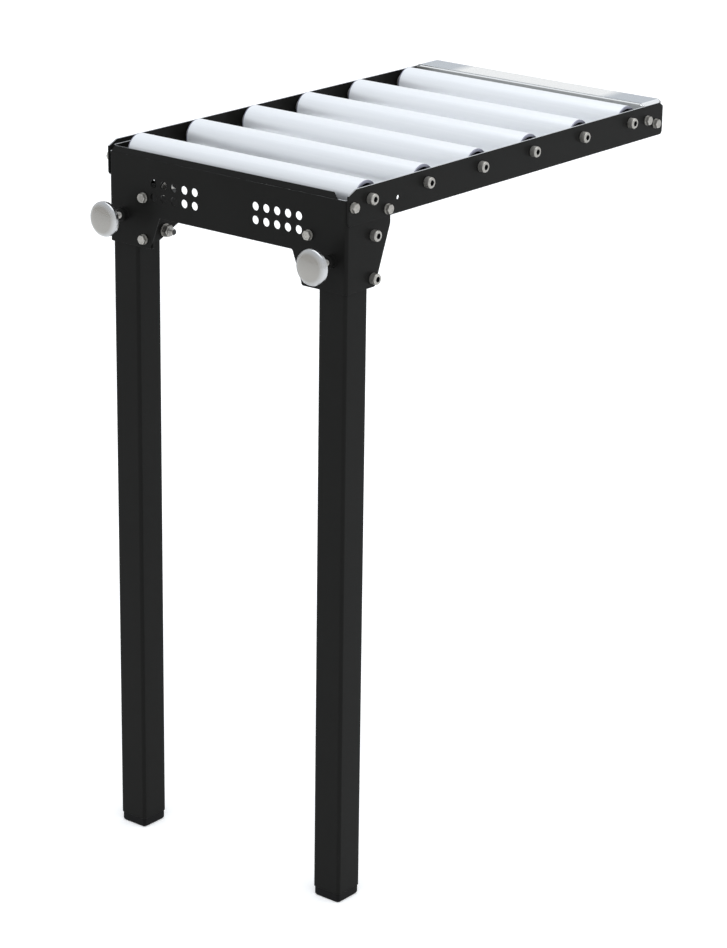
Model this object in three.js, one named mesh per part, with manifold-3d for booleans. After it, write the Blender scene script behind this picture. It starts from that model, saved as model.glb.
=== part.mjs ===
// A roller outfeed table: idle rollers between two side rails, a bent front panel with two clamped legs
// at the near end, and a bridge plate at the machine end. Millimetres, +Z up from the floor. X runs along
// the rollers, and Y runs from the front panel's face towards the machine.

import * as THREE from 'three';
import { mergeVertices } from 'three/addons/utils/BufferGeometryUtils.js';
import Module from 'manifold-3d';

// Side rails
const TABLE_WIDTH = 364; // over the rails' outer faces
const RAIL_TOP = 876; // above the floor
const RAIL_HEIGHT = 41;
const RAIL_SHEET = 2;
const RAIL_CORNER = 5; // radius of the lower corners
const NEAR_CLIP_RUN = 14;
const NEAR_CLIP_DROP = 6.5;
const FAR_CLIP_RUN = 8;
const FAR_CLIP_DROP = 5;
const SPARE_HOLE_DIAMETER = 5.5;
const SPARE_HOLE_SPACING = 19.5; // behind the rear side bolt
const SPARE_HOLE_DROP = 23; // below the rail's top edge

// Rollers
const ROLLER_COUNT = 6;
const ROLLER_PITCH = 102;
const FIRST_ROLLER = 38; // front face to the first axis
const END_BAY = 72; // last axis to the rails' far ends
const ROLLER_DROP = 15; // axis below the rail's top edge
const ROLLER_DIAMETER = 40;
const ROLLER_WALL = 1.5;
const ROLLER_LEFT_GAP = 10.3; // end caps to the panel's flanges
const ROLLER_RIGHT_GAP = 1.7;
const CAP_DEPTH = 10; // inside the tube
const CAP_FLANGE = 1.5; // outside the tube's end
const CAP_FLANGE_DROP = 0.2; // below the tube's surface
const CAP_CHAMFER = 0.6;
const CAP_RING = 4.4; // flange's width outside the recess
const CAP_RECESS = 5;
const CAP_BOSS_DIAMETER = 18;
const AXLE_DIAMETER = 12;
const SHOULDER_DIAMETER = 18; // of the axle, at its left, which keeps the roller to the right

// Front panel
const PANEL_SHEET = 2;
const PANEL_BEND = 4; // outer radius of the corner bends
const PANEL_DROP = 80; // lower edge below the rail's top edge
const FOLD_DROP = 11.5; // fold of the lip below the rail's top edge
const LIP_RUN = 6; // the lip leans back at 45 degrees
const LIP_END_INSET = 13; // fold's right end inside the panel's corner; its left end reaches the corner
const LIP_END_SLANT = 10; // of the right end
const EAR_DROP = 119.5;
const EAR_TOP_REACH = 36; // ear's inner edge inside the bracket's leg face, at the panel's lower edge
const EAR_FOOT_REACH = 21; // and at the ear's lower edge
const FLANGE_TOP_DROP = 5.5;
const FLANGE_CLIP = 4.5;
const FLANGE_SHOULDER_DROP = 51;
const FLANGE_FOOT_MARGIN = 4.7; // behind the cross bolts
const FLANGE_BACK_MARGIN = 30.7;
const SIDE_BOLT_EDGE = 8.5; // bolt centres to the edges of the sheets that they join
const PERFORATION_DIAMETER = 10;
const PERFORATION_PITCH = 16;
const PERFORATION_COLUMNS = 5;
const PERFORATION_ROWS = 2;
const PERFORATION_INSET = 23; // middle of the holes from the ear's inner edge
const PERFORATION_RISE = 32; // above the panel's lower edge

// Legs and feet
const LEG_SIZE = 40;
const LEG_WALL = 2;
const LEG_CORNER = 4;
const LEG_PLAY = 0.4; // on each side of the leg in its socket
const LEG_HEADROOM = 15; // leg top below the first roller
const FOOT_HEIGHT = 12;
const FOOT_SET_BACK = 0.8;
const FOOT_CHAMFER = 3;
const FOOT_PLUG_LENGTH = 20;
const FOOT_PLUG_PLAY = 0.3;

// Leg brackets
const BRACKET_SHEET = 2;
const BRACKET_BEND = 3;
const BRACKET_FLANGE = 24;
const BRACKET_TOP_MARGIN = 9; // above the upper cross bolt
const BRACKET_BACK_MARGIN = 27; // behind the cross bolts
const BRACKET_CUT_FORWARD = 9; // slanted lower corner starts ahead of the cross bolts
const BRACKET_CUT_RISE = 16.5;

// Clamps
const CLAMP_RISE = 35.5; // screw axis above the ear's lower edge
const CLAMP_SCREW_DIAMETER = 8;
const CROSS_BOLT_SPREAD = 50;
const EAR_BOLT_OFFSET = 11.6; // from the bracket's leg face
const COLLAR_DIAMETER = 15;
const COLLAR_LENGTH = 8;
const KNOB_DIAMETER = 42;
const KNOB_RIM = 4;
const KNOB_DOME = 8;
const KNOB_BACK = 11;
const KNOB_NECK_DIAMETER = 14;
const KNOB_STAND_OFF = 20; // neck to the panel's face
const PAD_LENGTH = 3.8;

// Bridge plate and end crossmember
const PLATE_SHEET = 1.5;
const PLATE_BEND = 3; // outer radius of the bends to the lips
const PLATE_END_BEND = 3; // and to the tabs
const PLATE_DEPTH = 39; // along Y
const PLATE_DROP = 2; // top face below the rollers' tops
const PLATE_FRONT_LIP = 12.5;
const PLATE_BACK_LIP = 8;
const PLATE_TAB_DEPTH = 38;
const PLATE_TAB_FOOT = 6.5; // above the rail's lower edge
const CROSS_SHEET = 2;
const CROSS_BEND = 4;
const CROSS_GAP = 1; // below the plate's front lip
const CROSS_DEPTH = 44;
const CROSS_FOOT = 2; // above the rail's lower edge
const END_BOLT_BACK = [35, 16]; // from the rails' far ends
const END_BOLT_DROP = [18, 25]; // below the rail's top edge
const MACHINE_HOLE_DIAMETER = 9;
const MACHINE_HOLE_SPACING = 220;

// Fasteners
const CAP_SCREW_DIAMETER = 8;
const CAP_HEAD_DIAMETER = 13;
const CAP_HEAD_HEIGHT = 8;
const SOCKET_FLATS = 6;
const SOCKET_DEPTH = 4;
const CROSS_BOLT_LENGTH = 60;
const NUT_FLATS = 13;
const NUT_HEIGHT = 6.5;
const NUT_COLLAR_DIAMETER = 11;
const NUT_COLLAR_HEIGHT = 1.8;
const NUT_WASHER_DIAMETER = 16;
const HEX_BOLT_DIAMETER = 6;
const HEX_BOLT_LENGTH = 10;
const HEX_HEAD_FLATS = 10;
const HEX_HEAD_HEIGHT = 4;
const HEX_WASHER_DIAMETER = 12;
const WASHER_THICKNESS = 1.6;
const CLINCH_NUT_DIAMETER = 11;
const CLINCH_NUT_LENGTH = 4.5;

// Clearances
const HOLE_PLAY = 0.25; // around fasteners
const RUNNING_PLAY = 0.06; // around turning shafts
const FIT_PLAY = 0.05; // around pieces pressed in
const CONTACT_GAP = 0.3; // between the screw tip, pad and leg
const BOSS_GAP = 0.5; // roller boss to the panel's flange

// Facets of round shapes and of bends, and the distance at which two corners count as one
const ROUND_FACETS = 20;
const SMALL_FACETS = 12;
const BEND_FACETS = 3;
const WELD = 1e-4;

// Finishes
const POWDER_COAT = { color: 0x262624, roughness: 0.42, metalness: 0 };
const BRIGHT_ZINC = { color: 0xb9b8b2, roughness: 0.32, metalness: 1 };
const ROLLER_METAL = { color: 0xdfe2e6, roughness: 0.38, metalness: 0.6 };
const STAINLESS = { color: 0xd0d3d5, roughness: 0.16, metalness: 1 };
const TURNED_ALUMINIUM = { color: 0xcfd0cf, roughness: 0.28, metalness: 1 };
const BLACK_PLASTIC = { color: 0x1b1c1f, roughness: 0.55, metalness: 0 };
const BRASS = { color: 0xb08d4f, roughness: 0.35, metalness: 1 };

// Places worked out from the sizes above
const halfWidth = TABLE_WIDTH / 2;
const railInside = halfWidth - RAIL_SHEET;
const railBottom = RAIL_TOP - RAIL_HEIGHT;
const railLength = FIRST_ROLLER + (ROLLER_COUNT - 1) * ROLLER_PITCH + END_BAY;
const rollerZ = RAIL_TOP - ROLLER_DROP;
const rollerRadius = ROLLER_DIAMETER / 2;
const flangeInside = railInside - PANEL_SHEET;
const rollerHalfLength = flangeInside - (ROLLER_LEFT_GAP + ROLLER_RIGHT_GAP) / 2; // over the end caps
const rollerMiddle = (ROLLER_LEFT_GAP - ROLLER_RIGHT_GAP) / 2;
const tubeHalfLength = rollerHalfLength - CAP_FLANGE - FIT_PLAY;
const bossReach = ROLLER_RIGHT_GAP - BOSS_GAP; // past the end caps

const legX = flangeInside - LEG_PLAY - LEG_SIZE / 2;
const legY = PANEL_SHEET + LEG_PLAY + LEG_SIZE / 2;
const legTop = rollerZ - rollerRadius - LEG_HEADROOM;
const bracketFace = legX - LEG_SIZE / 2 - LEG_PLAY;
const bracketInside = bracketFace - BRACKET_SHEET;

const earBottom = RAIL_TOP - EAR_DROP;
const clampZ = earBottom + CLAMP_RISE;
const crossBoltY = legY + LEG_SIZE / 2 + LEG_PLAY + CAP_SCREW_DIAMETER / 2;
const clampBoltZ = [clampZ + CROSS_BOLT_SPREAD / 2, clampZ - CROSS_BOLT_SPREAD / 2];
const earBoltX = bracketFace - EAR_BOLT_OFFSET;
const foldZ = RAIL_TOP - FOLD_DROP;
const flangeLength = crossBoltY + FLANGE_BACK_MARGIN;
const sideBolts = [
  { y: SIDE_BOLT_EDGE, z: foldZ - SIDE_BOLT_EDGE },
  { y: flangeLength - SIDE_BOLT_EDGE, z: railBottom + SIDE_BOLT_EDGE },
];
const endBolts = END_BOLT_BACK.map((back, i) => ({ y: railLength - back, z: RAIL_TOP - END_BOLT_DROP[i] }));
const spareHole = { y: flangeLength - SIDE_BOLT_EDGE + SPARE_HOLE_SPACING, z: RAIL_TOP - SPARE_HOLE_DROP };
const plateTop = rollerZ + rollerRadius - PLATE_DROP;
const tabInside = railInside - PLATE_SHEET;
const crossBottom = railBottom + CROSS_FOOT;
const crossTop = plateTop - PLATE_FRONT_LIP - CROSS_GAP;
const knobFront = KNOB_STAND_OFF + KNOB_BACK + KNOB_RIM + KNOB_DOME;

const wasm = await Module();
wasm.setup();

// Outline helpers: points in the plane of a sheet
function point(u, v) {
  return new THREE.Vector2(u, v);
}

function arc(u, v, radius, from, to, steps = BEND_FACETS) {
  return Array.from({ length: steps + 1 }, (_, i) => {
    const angle = THREE.MathUtils.degToRad(from + ((to - from) * i) / steps);
    return point(u + radius * Math.cos(angle), v + radius * Math.sin(angle));
  });
}

function roundedSquare(size, corner) {
  const c = size / 2 - corner;
  return [
    ...arc(c, c, corner, 0, 90),
    ...arc(-c, c, corner, 90, 180),
    ...arc(-c, -c, corner, 180, 270),
    ...arc(c, -c, corner, 270, 360),
  ];
}

// Plan of a sheet bent to a channel: its web's outer face lies on y = 0 and its sides run towards +Y
function channelPlan(half, depth, sheet, bend) {
  const c = half - bend;
  return [
    point(half, depth),
    point(half - sheet, depth),
    ...arc(c, bend, bend - sheet, 0, -90),
    ...arc(-c, bend, bend - sheet, 270, 180),
    point(-half + sheet, depth),
    point(-half, depth),
    ...arc(-c, bend, bend, 180, 270),
    ...arc(c, bend, bend, 270, 360),
  ];
}

// Sheets extruded across the plane that their outline is drawn in
function sheetXY(outline, z0, z1, inner) {
  const shape = new THREE.Shape(outline);
  if (inner) shape.holes.push(new THREE.Path(inner));
  return new THREE.ExtrudeGeometry(shape, { depth: z1 - z0, bevelEnabled: false }).translate(0, 0, z0);
}

function sheetYZ(outline, x0, x1) {
  return sheetXY(outline, x0, x1).applyMatrix4(
    new THREE.Matrix4().makeBasis(
      new THREE.Vector3(0, 1, 0),
      new THREE.Vector3(0, 0, 1),
      new THREE.Vector3(1, 0, 0),
    ),
  );
}

function sheetXZ(outline, y0, y1) {
  return sheetXY(outline, -y1, -y0).rotateX(Math.PI / 2);
}

// Round and six-sided bars. A bar drilled as a hole has its flats outside the round that passes through it
function rod(radius, from, to, facets = SMALL_FACETS) {
  return new THREE.CylinderGeometry(radius, radius, to - from, facets).translate(0, (from + to) / 2, 0);
}

function rodX(y, z, radius, from, to) {
  return rod(radius, from, to).rotateZ(-Math.PI / 2).translate(0, y, z);
}

function rodY(x, z, radius, from, to) {
  return rod(radius, from, to).translate(x, 0, z);
}

function hexBar(flats, from, to) {
  return rod(flats / Math.sqrt(3), from, to, 6);
}

function around(radius, play, facets = SMALL_FACETS) {
  return (radius + play) / Math.cos(Math.PI / facets);
}

function turned(profile, facets = SMALL_FACETS) {
  return new THREE.LatheGeometry(profile, facets);
}

// Closed solids, and their joins and cuts
function solid(geometry) {
  const bare = geometry.clone();
  bare.deleteAttribute('normal');
  bare.deleteAttribute('uv');
  const merged = mergeVertices(bare, WELD);
  const corners = Array.from(merged.index.array);
  const triangles = [];
  for (let i = 0; i < corners.length; i += 3) {
    const [a, b, c] = corners.slice(i, i + 3);
    if (a !== b && b !== c && c !== a) triangles.push(a, b, c);
  }
  const vertProperties = Float32Array.from(merged.attributes.position.array);
  const triVerts = Uint32Array.from(triangles);
  return new wasm.Manifold(new wasm.Mesh({ numProp: 3, vertProperties, triVerts }));
}

function join(body, extras) {
  return extras.reduce((whole, extra) => whole.add(solid(extra)), body);
}

function cut(body, tools) {
  return tools.reduce((rest, tool) => rest.subtract(solid(tool)), body);
}

function piece(name, body, finish) {
  const { vertProperties, triVerts } = body.getMesh();
  const geometry = new THREE.BufferGeometry();
  geometry.setAttribute('position', new THREE.BufferAttribute(vertProperties, 3));
  geometry.setIndex(new THREE.BufferAttribute(triVerts, 1));
  geometry.computeVertexNormals();
  const mesh = new THREE.Mesh(geometry, new THREE.MeshStandardMaterial(finish));
  mesh.name = name;
  return mesh;
}

// Turned pieces are drawn along +Y from the face that they seat on, then turned to face where they go
const FACING = { right: -Math.PI / 2, left: Math.PI / 2, front: Math.PI };

function place(mesh, facing, x, y, z) {
  mesh.rotation.z = FACING[facing];
  mesh.position.set(x, y, z);
  return mesh;
}

const SIDES = [
  { name: 'left', sign: -1, outward: 'left', inward: 'right' },
  { name: 'right', sign: 1, outward: 'right', inward: 'left' },
];

// Front panel: bent channel, trimmed to its ears and flanges, with the lip, collar nuts and clinch nuts
function panelLip() {
  const leftEnd = PANEL_BEND - railInside;
  const rightEnd = railInside - LIP_END_INSET;
  const tip = foldZ + LIP_RUN;
  const back = PANEL_SHEET / Math.SQRT2;
  const inside = foldZ - PANEL_SHEET * Math.tan(Math.PI / 8);
  const section = [
    point(0, foldZ - FOLD_DROP),
    point(PANEL_SHEET, foldZ - FOLD_DROP),
    point(PANEL_SHEET, inside),
    point(LIP_RUN + back, tip - back),
    point(LIP_RUN, tip),
    point(0, foldZ),
  ];
  const front = [
    point(leftEnd, foldZ - FOLD_DROP),
    point(rightEnd, foldZ - FOLD_DROP),
    point(rightEnd, foldZ),
    point(rightEnd - LIP_END_SLANT, tip + WELD),
    point(leftEnd, tip + WELD),
  ];
  const strip = solid(sheetYZ(section, leftEnd, rightEnd));
  return strip.intersect(solid(sheetXZ(front, -PANEL_SHEET, LIP_RUN + 2 * PANEL_SHEET)));
}

function perforations() {
  const middleX = bracketFace - EAR_TOP_REACH - PERFORATION_INSET;
  const middleZ = RAIL_TOP - PANEL_DROP + PERFORATION_RISE;
  const radius = PERFORATION_DIAMETER / 2;
  const holes = [];
  for (const { sign } of SIDES) {
    for (let column = 0; column < PERFORATION_COLUMNS; column += 1) {
      for (let row = 0; row < PERFORATION_ROWS; row += 1) {
        const x = sign * (middleX + (column - (PERFORATION_COLUMNS - 1) / 2) * PERFORATION_PITCH);
        const z = middleZ + (row - (PERFORATION_ROWS - 1) / 2) * PERFORATION_PITCH;
        holes.push(rodY(x, z, radius, -PANEL_SHEET, 2 * PANEL_SHEET));
      }
    }
  }
  return holes;
}

function frontPanel() {
  const flangeTop = RAIL_TOP - FLANGE_TOP_DROP;
  const flangeFoot = crossBoltY + FLANGE_FOOT_MARGIN;
  const sideView = [
    point(-PANEL_SHEET, earBottom),
    point(flangeFoot, earBottom),
    point(flangeLength, RAIL_TOP - FLANGE_SHOULDER_DROP),
    point(flangeLength, flangeTop),
    point(PANEL_BEND + FLANGE_CLIP, flangeTop),
    point(PANEL_BEND, flangeTop - FLANGE_CLIP),
    point(PANEL_BEND, foldZ),
    point(-PANEL_SHEET, foldZ),
  ];
  const earTop = bracketFace - EAR_TOP_REACH;
  const earFoot = bracketFace - EAR_FOOT_REACH;
  const panelBottom = RAIL_TOP - PANEL_DROP;
  const betweenEars = [
    point(-earTop, panelBottom),
    point(-earFoot, earBottom),
    point(-earFoot, earBottom - PANEL_SHEET),
    point(earFoot, earBottom - PANEL_SHEET),
    point(earFoot, earBottom),
    point(earTop, panelBottom),
  ];
  const plan = channelPlan(railInside, flangeLength, PANEL_SHEET, PANEL_BEND);
  const channel = solid(sheetXY(plan, earBottom, flangeTop));
  const trimmed = channel.intersect(solid(sheetYZ(sideView, -halfWidth, halfWidth)));
  const open = cut(trimmed, [sheetXZ(betweenEars, -PANEL_SHEET, PANEL_BEND)]).add(panelLip());

  const nutRadius = CLINCH_NUT_DIAMETER / 2;
  const nuts = SIDES.flatMap(({ sign }) => {
    const span = [sign * (flangeInside - CLINCH_NUT_LENGTH), sign * (flangeInside + PANEL_SHEET / 2)];
    const [from, to] = span.sort((a, b) => a - b);
    return sideBolts.map(({ y, z }) => rodX(y, z, nutRadius, from, to));
  });
  const collars = SIDES.map(({ sign }) =>
    rodY(sign * legX, clampZ, COLLAR_DIAMETER / 2, -COLLAR_LENGTH, PANEL_SHEET / 2),
  );
  const boltHole = around(HEX_BOLT_DIAMETER / 2, HOLE_PLAY);
  const crossHole = around(CAP_SCREW_DIAMETER / 2, HOLE_PLAY);
  const axleHole = around(AXLE_DIAMETER / 2, HOLE_PLAY);
  const screwHole = around(CLAMP_SCREW_DIAMETER / 2, RUNNING_PLAY);
  const holes = [
    ...sideBolts.map(({ y, z }) => rodX(y, z, boltHole, -halfWidth, halfWidth)),
    ...clampBoltZ.map((z) => rodX(crossBoltY, z, crossHole, -halfWidth, halfWidth)),
    rodX(FIRST_ROLLER, rollerZ, axleHole, -halfWidth, halfWidth),
    ...SIDES.flatMap(({ sign }) =>
      clampBoltZ.map((z) => rodY(sign * earBoltX, z, boltHole, -PANEL_SHEET, 2 * PANEL_SHEET)),
    ),
    ...SIDES.map(({ sign }) => rodY(sign * legX, clampZ, screwHole, -2 * COLLAR_LENGTH, 2 * PANEL_SHEET)),
    ...perforations(),
  ];
  return piece('front_panel', cut(join(open, [...nuts, ...collars]), holes), POWDER_COAT);
}

// Side rails: flat plates with clipped top corners
function sideRail({ name, sign }) {
  const c = RAIL_CORNER;
  const outline = [
    ...arc(c, railBottom + c, c, 180, 270),
    ...arc(railLength - c, railBottom + c, c, 270, 360),
    point(railLength, RAIL_TOP - FAR_CLIP_DROP),
    point(railLength - FAR_CLIP_RUN, RAIL_TOP),
    point(NEAR_CLIP_RUN, RAIL_TOP),
    point(0, RAIL_TOP - NEAR_CLIP_DROP),
  ];
  const [from, to] = [sign * railInside, sign * halfWidth].sort((a, b) => a - b);
  const axleHole = around(CAP_SCREW_DIAMETER / 2, HOLE_PLAY);
  const boltHole = around(HEX_BOLT_DIAMETER / 2, HOLE_PLAY);
  const through = (y, z, radius) => rodX(y, z, radius, from - RAIL_SHEET, to + RAIL_SHEET);
  const holes = [
    ...rollerPlaces().map((y) => through(y, rollerZ, axleHole)),
    ...[...sideBolts, ...endBolts].map(({ y, z }) => through(y, z, boltHole)),
    through(spareHole.y, spareHole.z, SPARE_HOLE_DIAMETER / 2),
  ];
  return piece(`${name}_rail`, cut(solid(sheetYZ(outline, from, to)), holes), POWDER_COAT);
}

// Rollers: a tube with an end cap at each end, running on a fixed axle held by a screw in each end
function rollerPlaces() {
  return Array.from({ length: ROLLER_COUNT }, (_, i) => FIRST_ROLLER + i * ROLLER_PITCH);
}

function rollerTube(name) {
  const bore = rollerRadius - ROLLER_WALL;
  const profile = [
    point(bore, -tubeHalfLength),
    point(rollerRadius, -tubeHalfLength),
    point(rollerRadius, tubeHalfLength),
    point(bore, tubeHalfLength),
    point(bore, -tubeHalfLength),
  ];
  return piece(name, solid(turned(profile, ROUND_FACETS)), ROLLER_METAL);
}

function rollerCap(name) {
  const inner = tubeHalfLength - CAP_DEPTH;
  const shoulder = tubeHalfLength + FIT_PLAY;
  const face = rollerHalfLength;
  const boss = CAP_BOSS_DIAMETER / 2;
  const bossEnd = face + bossReach;
  const seat = rollerRadius - ROLLER_WALL - FIT_PLAY;
  const rim = rollerRadius - CAP_FLANGE_DROP;
  const well = rim - CAP_CHAMFER - CAP_RING;
  const bore = around(AXLE_DIAMETER / 2, RUNNING_PLAY, ROUND_FACETS);
  const profile = [
    point(bore, inner),
    point(seat, inner),
    point(seat, shoulder),
    point(rim, shoulder),
    point(rim, face - CAP_CHAMFER),
    point(rim - CAP_CHAMFER, face),
    point(well, face),
    point(well, face - CAP_RECESS),
    point(boss, face - CAP_RECESS),
    point(boss, bossEnd),
    point(bore, bossEnd),
    point(bore, inner),
  ];
  return piece(name, solid(turned(profile, ROUND_FACETS)), BLACK_PLASTIC);
}

function rollerAxle(name) {
  const shaft = AXLE_DIAMETER / 2;
  const shank = CAP_SCREW_DIAMETER / 2;
  const head = CAP_HEAD_DIAMETER / 2;
  const end = halfWidth + CAP_HEAD_HEIGHT;
  const shoulder = SHOULDER_DIAMETER / 2;
  const shoulderFrom = BOSS_GAP - flangeInside;
  const shoulderTo = rollerMiddle - rollerHalfLength - bossReach - BOSS_GAP;
  const half = [
    point(shaft, railInside),
    point(shank, railInside),
    point(shank, halfWidth),
    point(head, halfWidth),
    point(head, end),
    point(0, end),
  ];
  const profile = [
    ...half.map(({ x, y }) => point(x, -y)).reverse(),
    point(shaft, shoulderFrom),
    point(shoulder, shoulderFrom),
    point(shoulder, shoulderTo),
    point(shaft, shoulderTo),
    ...half,
  ];
  const sockets = [
    hexBar(SOCKET_FLATS, end - SOCKET_DEPTH, end + SOCKET_DEPTH),
    hexBar(SOCKET_FLATS, -end - SOCKET_DEPTH, SOCKET_DEPTH - end),
  ];
  return piece(name, cut(solid(turned(profile)), sockets), BRIGHT_ZINC);
}

function roller(y, index) {
  const group = new THREE.Group();
  const name = `roller_${index + 1}`;
  const leftCap = rollerCap(`${name}_left_cap`);
  leftCap.rotation.z = Math.PI;
  const turning = new THREE.Group();
  turning.add(rollerTube(`${name}_tube`), leftCap, rollerCap(`${name}_right_cap`));
  turning.position.y = rollerMiddle;
  group.add(turning, rollerAxle(`${name}_axle`));
  return place(group, 'right', 0, y, rollerZ);
}

// Legs: square tubes closed by plugged feet
function leg({ name, sign }) {
  const group = new THREE.Group();
  const bore = LEG_SIZE - 2 * LEG_WALL;
  const boreCorner = Math.max(LEG_CORNER - LEG_WALL, LEG_WALL / 2);
  const inner = roundedSquare(bore, boreCorner);
  const tube = solid(sheetXY(roundedSquare(LEG_SIZE, LEG_CORNER), FOOT_HEIGHT, legTop, inner));
  const foot = new THREE.Shape(roundedSquare(LEG_SIZE - 2 * FOOT_SET_BACK, LEG_CORNER));
  const rounded = new THREE.ExtrudeGeometry(foot, {
    depth: FOOT_HEIGHT,
    bevelThickness: FOOT_CHAMFER,
    bevelSize: FOOT_CHAMFER,
    bevelOffset: -FOOT_CHAMFER,
    bevelSegments: 2,
  }).translate(0, 0, FOOT_CHAMFER);
  const above = sheetXY(roundedSquare(2 * LEG_SIZE, LEG_CORNER), FOOT_HEIGHT, 3 * FOOT_HEIGHT);
  const plugOutline = roundedSquare(bore - 2 * FOOT_PLUG_PLAY, boreCorner);
  const plug = sheetXY(plugOutline, FOOT_HEIGHT - FOOT_CHAMFER, FOOT_HEIGHT + FOOT_PLUG_LENGTH);
  const cap = join(cut(solid(rounded), [above]), [plug]);
  group.add(piece(`${name}_leg`, tube, POWDER_COAT), piece(`${name}_foot`, cap, BLACK_PLASTIC));
  group.position.set(sign * legX, legY, 0);
  return group;
}

// Leg brackets: the inner half of each leg socket, with clinch nuts for the ear bolts
function legBracket({ name, sign }) {
  const top = clampBoltZ[0] + BRACKET_TOP_MARGIN;
  const depth = crossBoltY + BRACKET_BACK_MARGIN;
  const bend = BRACKET_BEND;
  const front = PANEL_SHEET;
  const flangeEnd = bracketFace - BRACKET_FLANGE;
  const plan = [
    point(flangeEnd, front),
    ...arc(bracketFace - bend, front + bend, bend, 270, 360),
    point(bracketFace, depth),
    point(bracketInside, depth),
    ...arc(bracketFace - bend, front + bend, bend - BRACKET_SHEET, 360, 270),
    point(flangeEnd, front + BRACKET_SHEET),
  ].map(({ x, y }) => point(sign * x, y));
  const sideView = [
    point(0, earBottom),
    point(crossBoltY - BRACKET_CUT_FORWARD, earBottom),
    point(depth, earBottom + BRACKET_CUT_RISE),
    point(depth, top),
    point(0, top),
  ];
  const folded = solid(sheetXY(plan, earBottom, top));
  const trimmed = folded.intersect(solid(sheetYZ(sideView, -halfWidth, halfWidth)));
  const nutFrom = front + BRACKET_SHEET / 2;
  const nutTo = front + BRACKET_SHEET + CLINCH_NUT_LENGTH;
  const nuts = clampBoltZ.map((z) => rodY(sign * earBoltX, z, CLINCH_NUT_DIAMETER / 2, nutFrom, nutTo));
  const boltHole = around(HEX_BOLT_DIAMETER / 2, HOLE_PLAY);
  const crossHole = around(CAP_SCREW_DIAMETER / 2, HOLE_PLAY);
  const holes = [
    ...clampBoltZ.map((z) => rodX(crossBoltY, z, crossHole, -halfWidth, halfWidth)),
    ...clampBoltZ.map((z) => rodY(sign * earBoltX, z, boltHole, 0, 2 * nutTo)),
  ];
  return piece(`${name}_leg_bracket`, cut(join(trimmed, nuts), holes), POWDER_COAT);
}

// Clamps: a domed knob on a screw, whose tip pushes a pad against the leg
function clamp({ name, sign }) {
  const padBack = PANEL_SHEET + LEG_PLAY - CONTACT_GAP;
  const tip = PAD_LENGTH + CONTACT_GAP - padBack;
  const radius = KNOB_DIAMETER / 2;
  const screw = CLAMP_SCREW_DIAMETER / 2;
  const neck = KNOB_NECK_DIAMETER / 2;
  const rimBack = KNOB_STAND_OFF + KNOB_BACK;
  const rimFront = rimBack + KNOB_RIM;
  const domeRadius = (radius ** 2 + KNOB_DOME ** 2) / (2 * KNOB_DOME);
  const domeStart = THREE.MathUtils.radToDeg(Math.acos(radius / domeRadius));
  const profile = [
    point(0, tip),
    point(screw, tip),
    point(screw, KNOB_STAND_OFF),
    point(neck, KNOB_STAND_OFF),
    point(neck, KNOB_STAND_OFF + KNOB_BACK / 3),
    point(radius, rimBack),
    ...arc(0, rimFront + KNOB_DOME - domeRadius, domeRadius, domeStart, 90, 2 * BEND_FACETS),
  ];
  const knob = piece(`${name}_clamp_knob`, solid(turned(profile, ROUND_FACETS)), TURNED_ALUMINIUM);
  const pad = piece(`${name}_pressure_pad`, solid(rod(screw, -padBack, PAD_LENGTH - padBack)), BRASS);
  const group = new THREE.Group();
  group.add(knob, pad);
  return place(group, 'front', sign * legX, 0, clampZ);
}

// Bridge plate: a folded tray with a tab at each end that is bolted to the rail
function bridgePlate() {
  const front = railLength - PLATE_DEPTH;
  const b = PLATE_BEND;
  const inner = b - PLATE_SHEET;
  const section = [
    point(front, plateTop - PLATE_FRONT_LIP),
    point(front + PLATE_SHEET, plateTop - PLATE_FRONT_LIP),
    ...arc(front + b, plateTop - b, inner, 180, 90),
    ...arc(railLength - b, plateTop - b, inner, 90, 0),
    point(railLength - PLATE_SHEET, plateTop - PLATE_BACK_LIP),
    point(railLength, plateTop - PLATE_BACK_LIP),
    ...arc(railLength - b, plateTop - b, b, 0, 90),
    ...arc(front + b, plateTop - b, b, 90, 180),
  ];
  const tabBack = railLength - PLATE_SHEET - b;
  const tabFront = tabBack - PLATE_TAB_DEPTH;
  const tabShoulder = crossTop;
  const tabFoot = railBottom + PLATE_TAB_FOOT;
  const tabTop = plateTop - PLATE_END_BEND;
  const arch = channelPlan(railInside, plateTop - tabShoulder, PLATE_SHEET, PLATE_END_BEND);
  const bends = sheetXZ(arch.map(({ x, y }) => point(x, plateTop - y)), front + b, tabBack);
  const tab = [
    point(tabFront, tabFoot),
    point(tabBack, tabFoot),
    point(tabBack, tabTop),
    point(front + b, tabTop),
    point(front + b, tabShoulder),
    point(tabFront, tabShoulder),
  ];
  const tabs = [sheetYZ(tab, -railInside, -tabInside), sheetYZ(tab, tabInside, railInside)];
  const boltHole = around(HEX_BOLT_DIAMETER / 2, HOLE_PLAY);
  const holes = endBolts.map(({ y, z }) => rodX(y, z, boltHole, -halfWidth, halfWidth));
  const flat = railInside - PLATE_END_BEND;
  const tray = solid(sheetYZ(section, -flat, flat));
  return piece('bridge_plate', cut(join(tray, [bends, ...tabs]), holes), STAINLESS);
}

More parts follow.
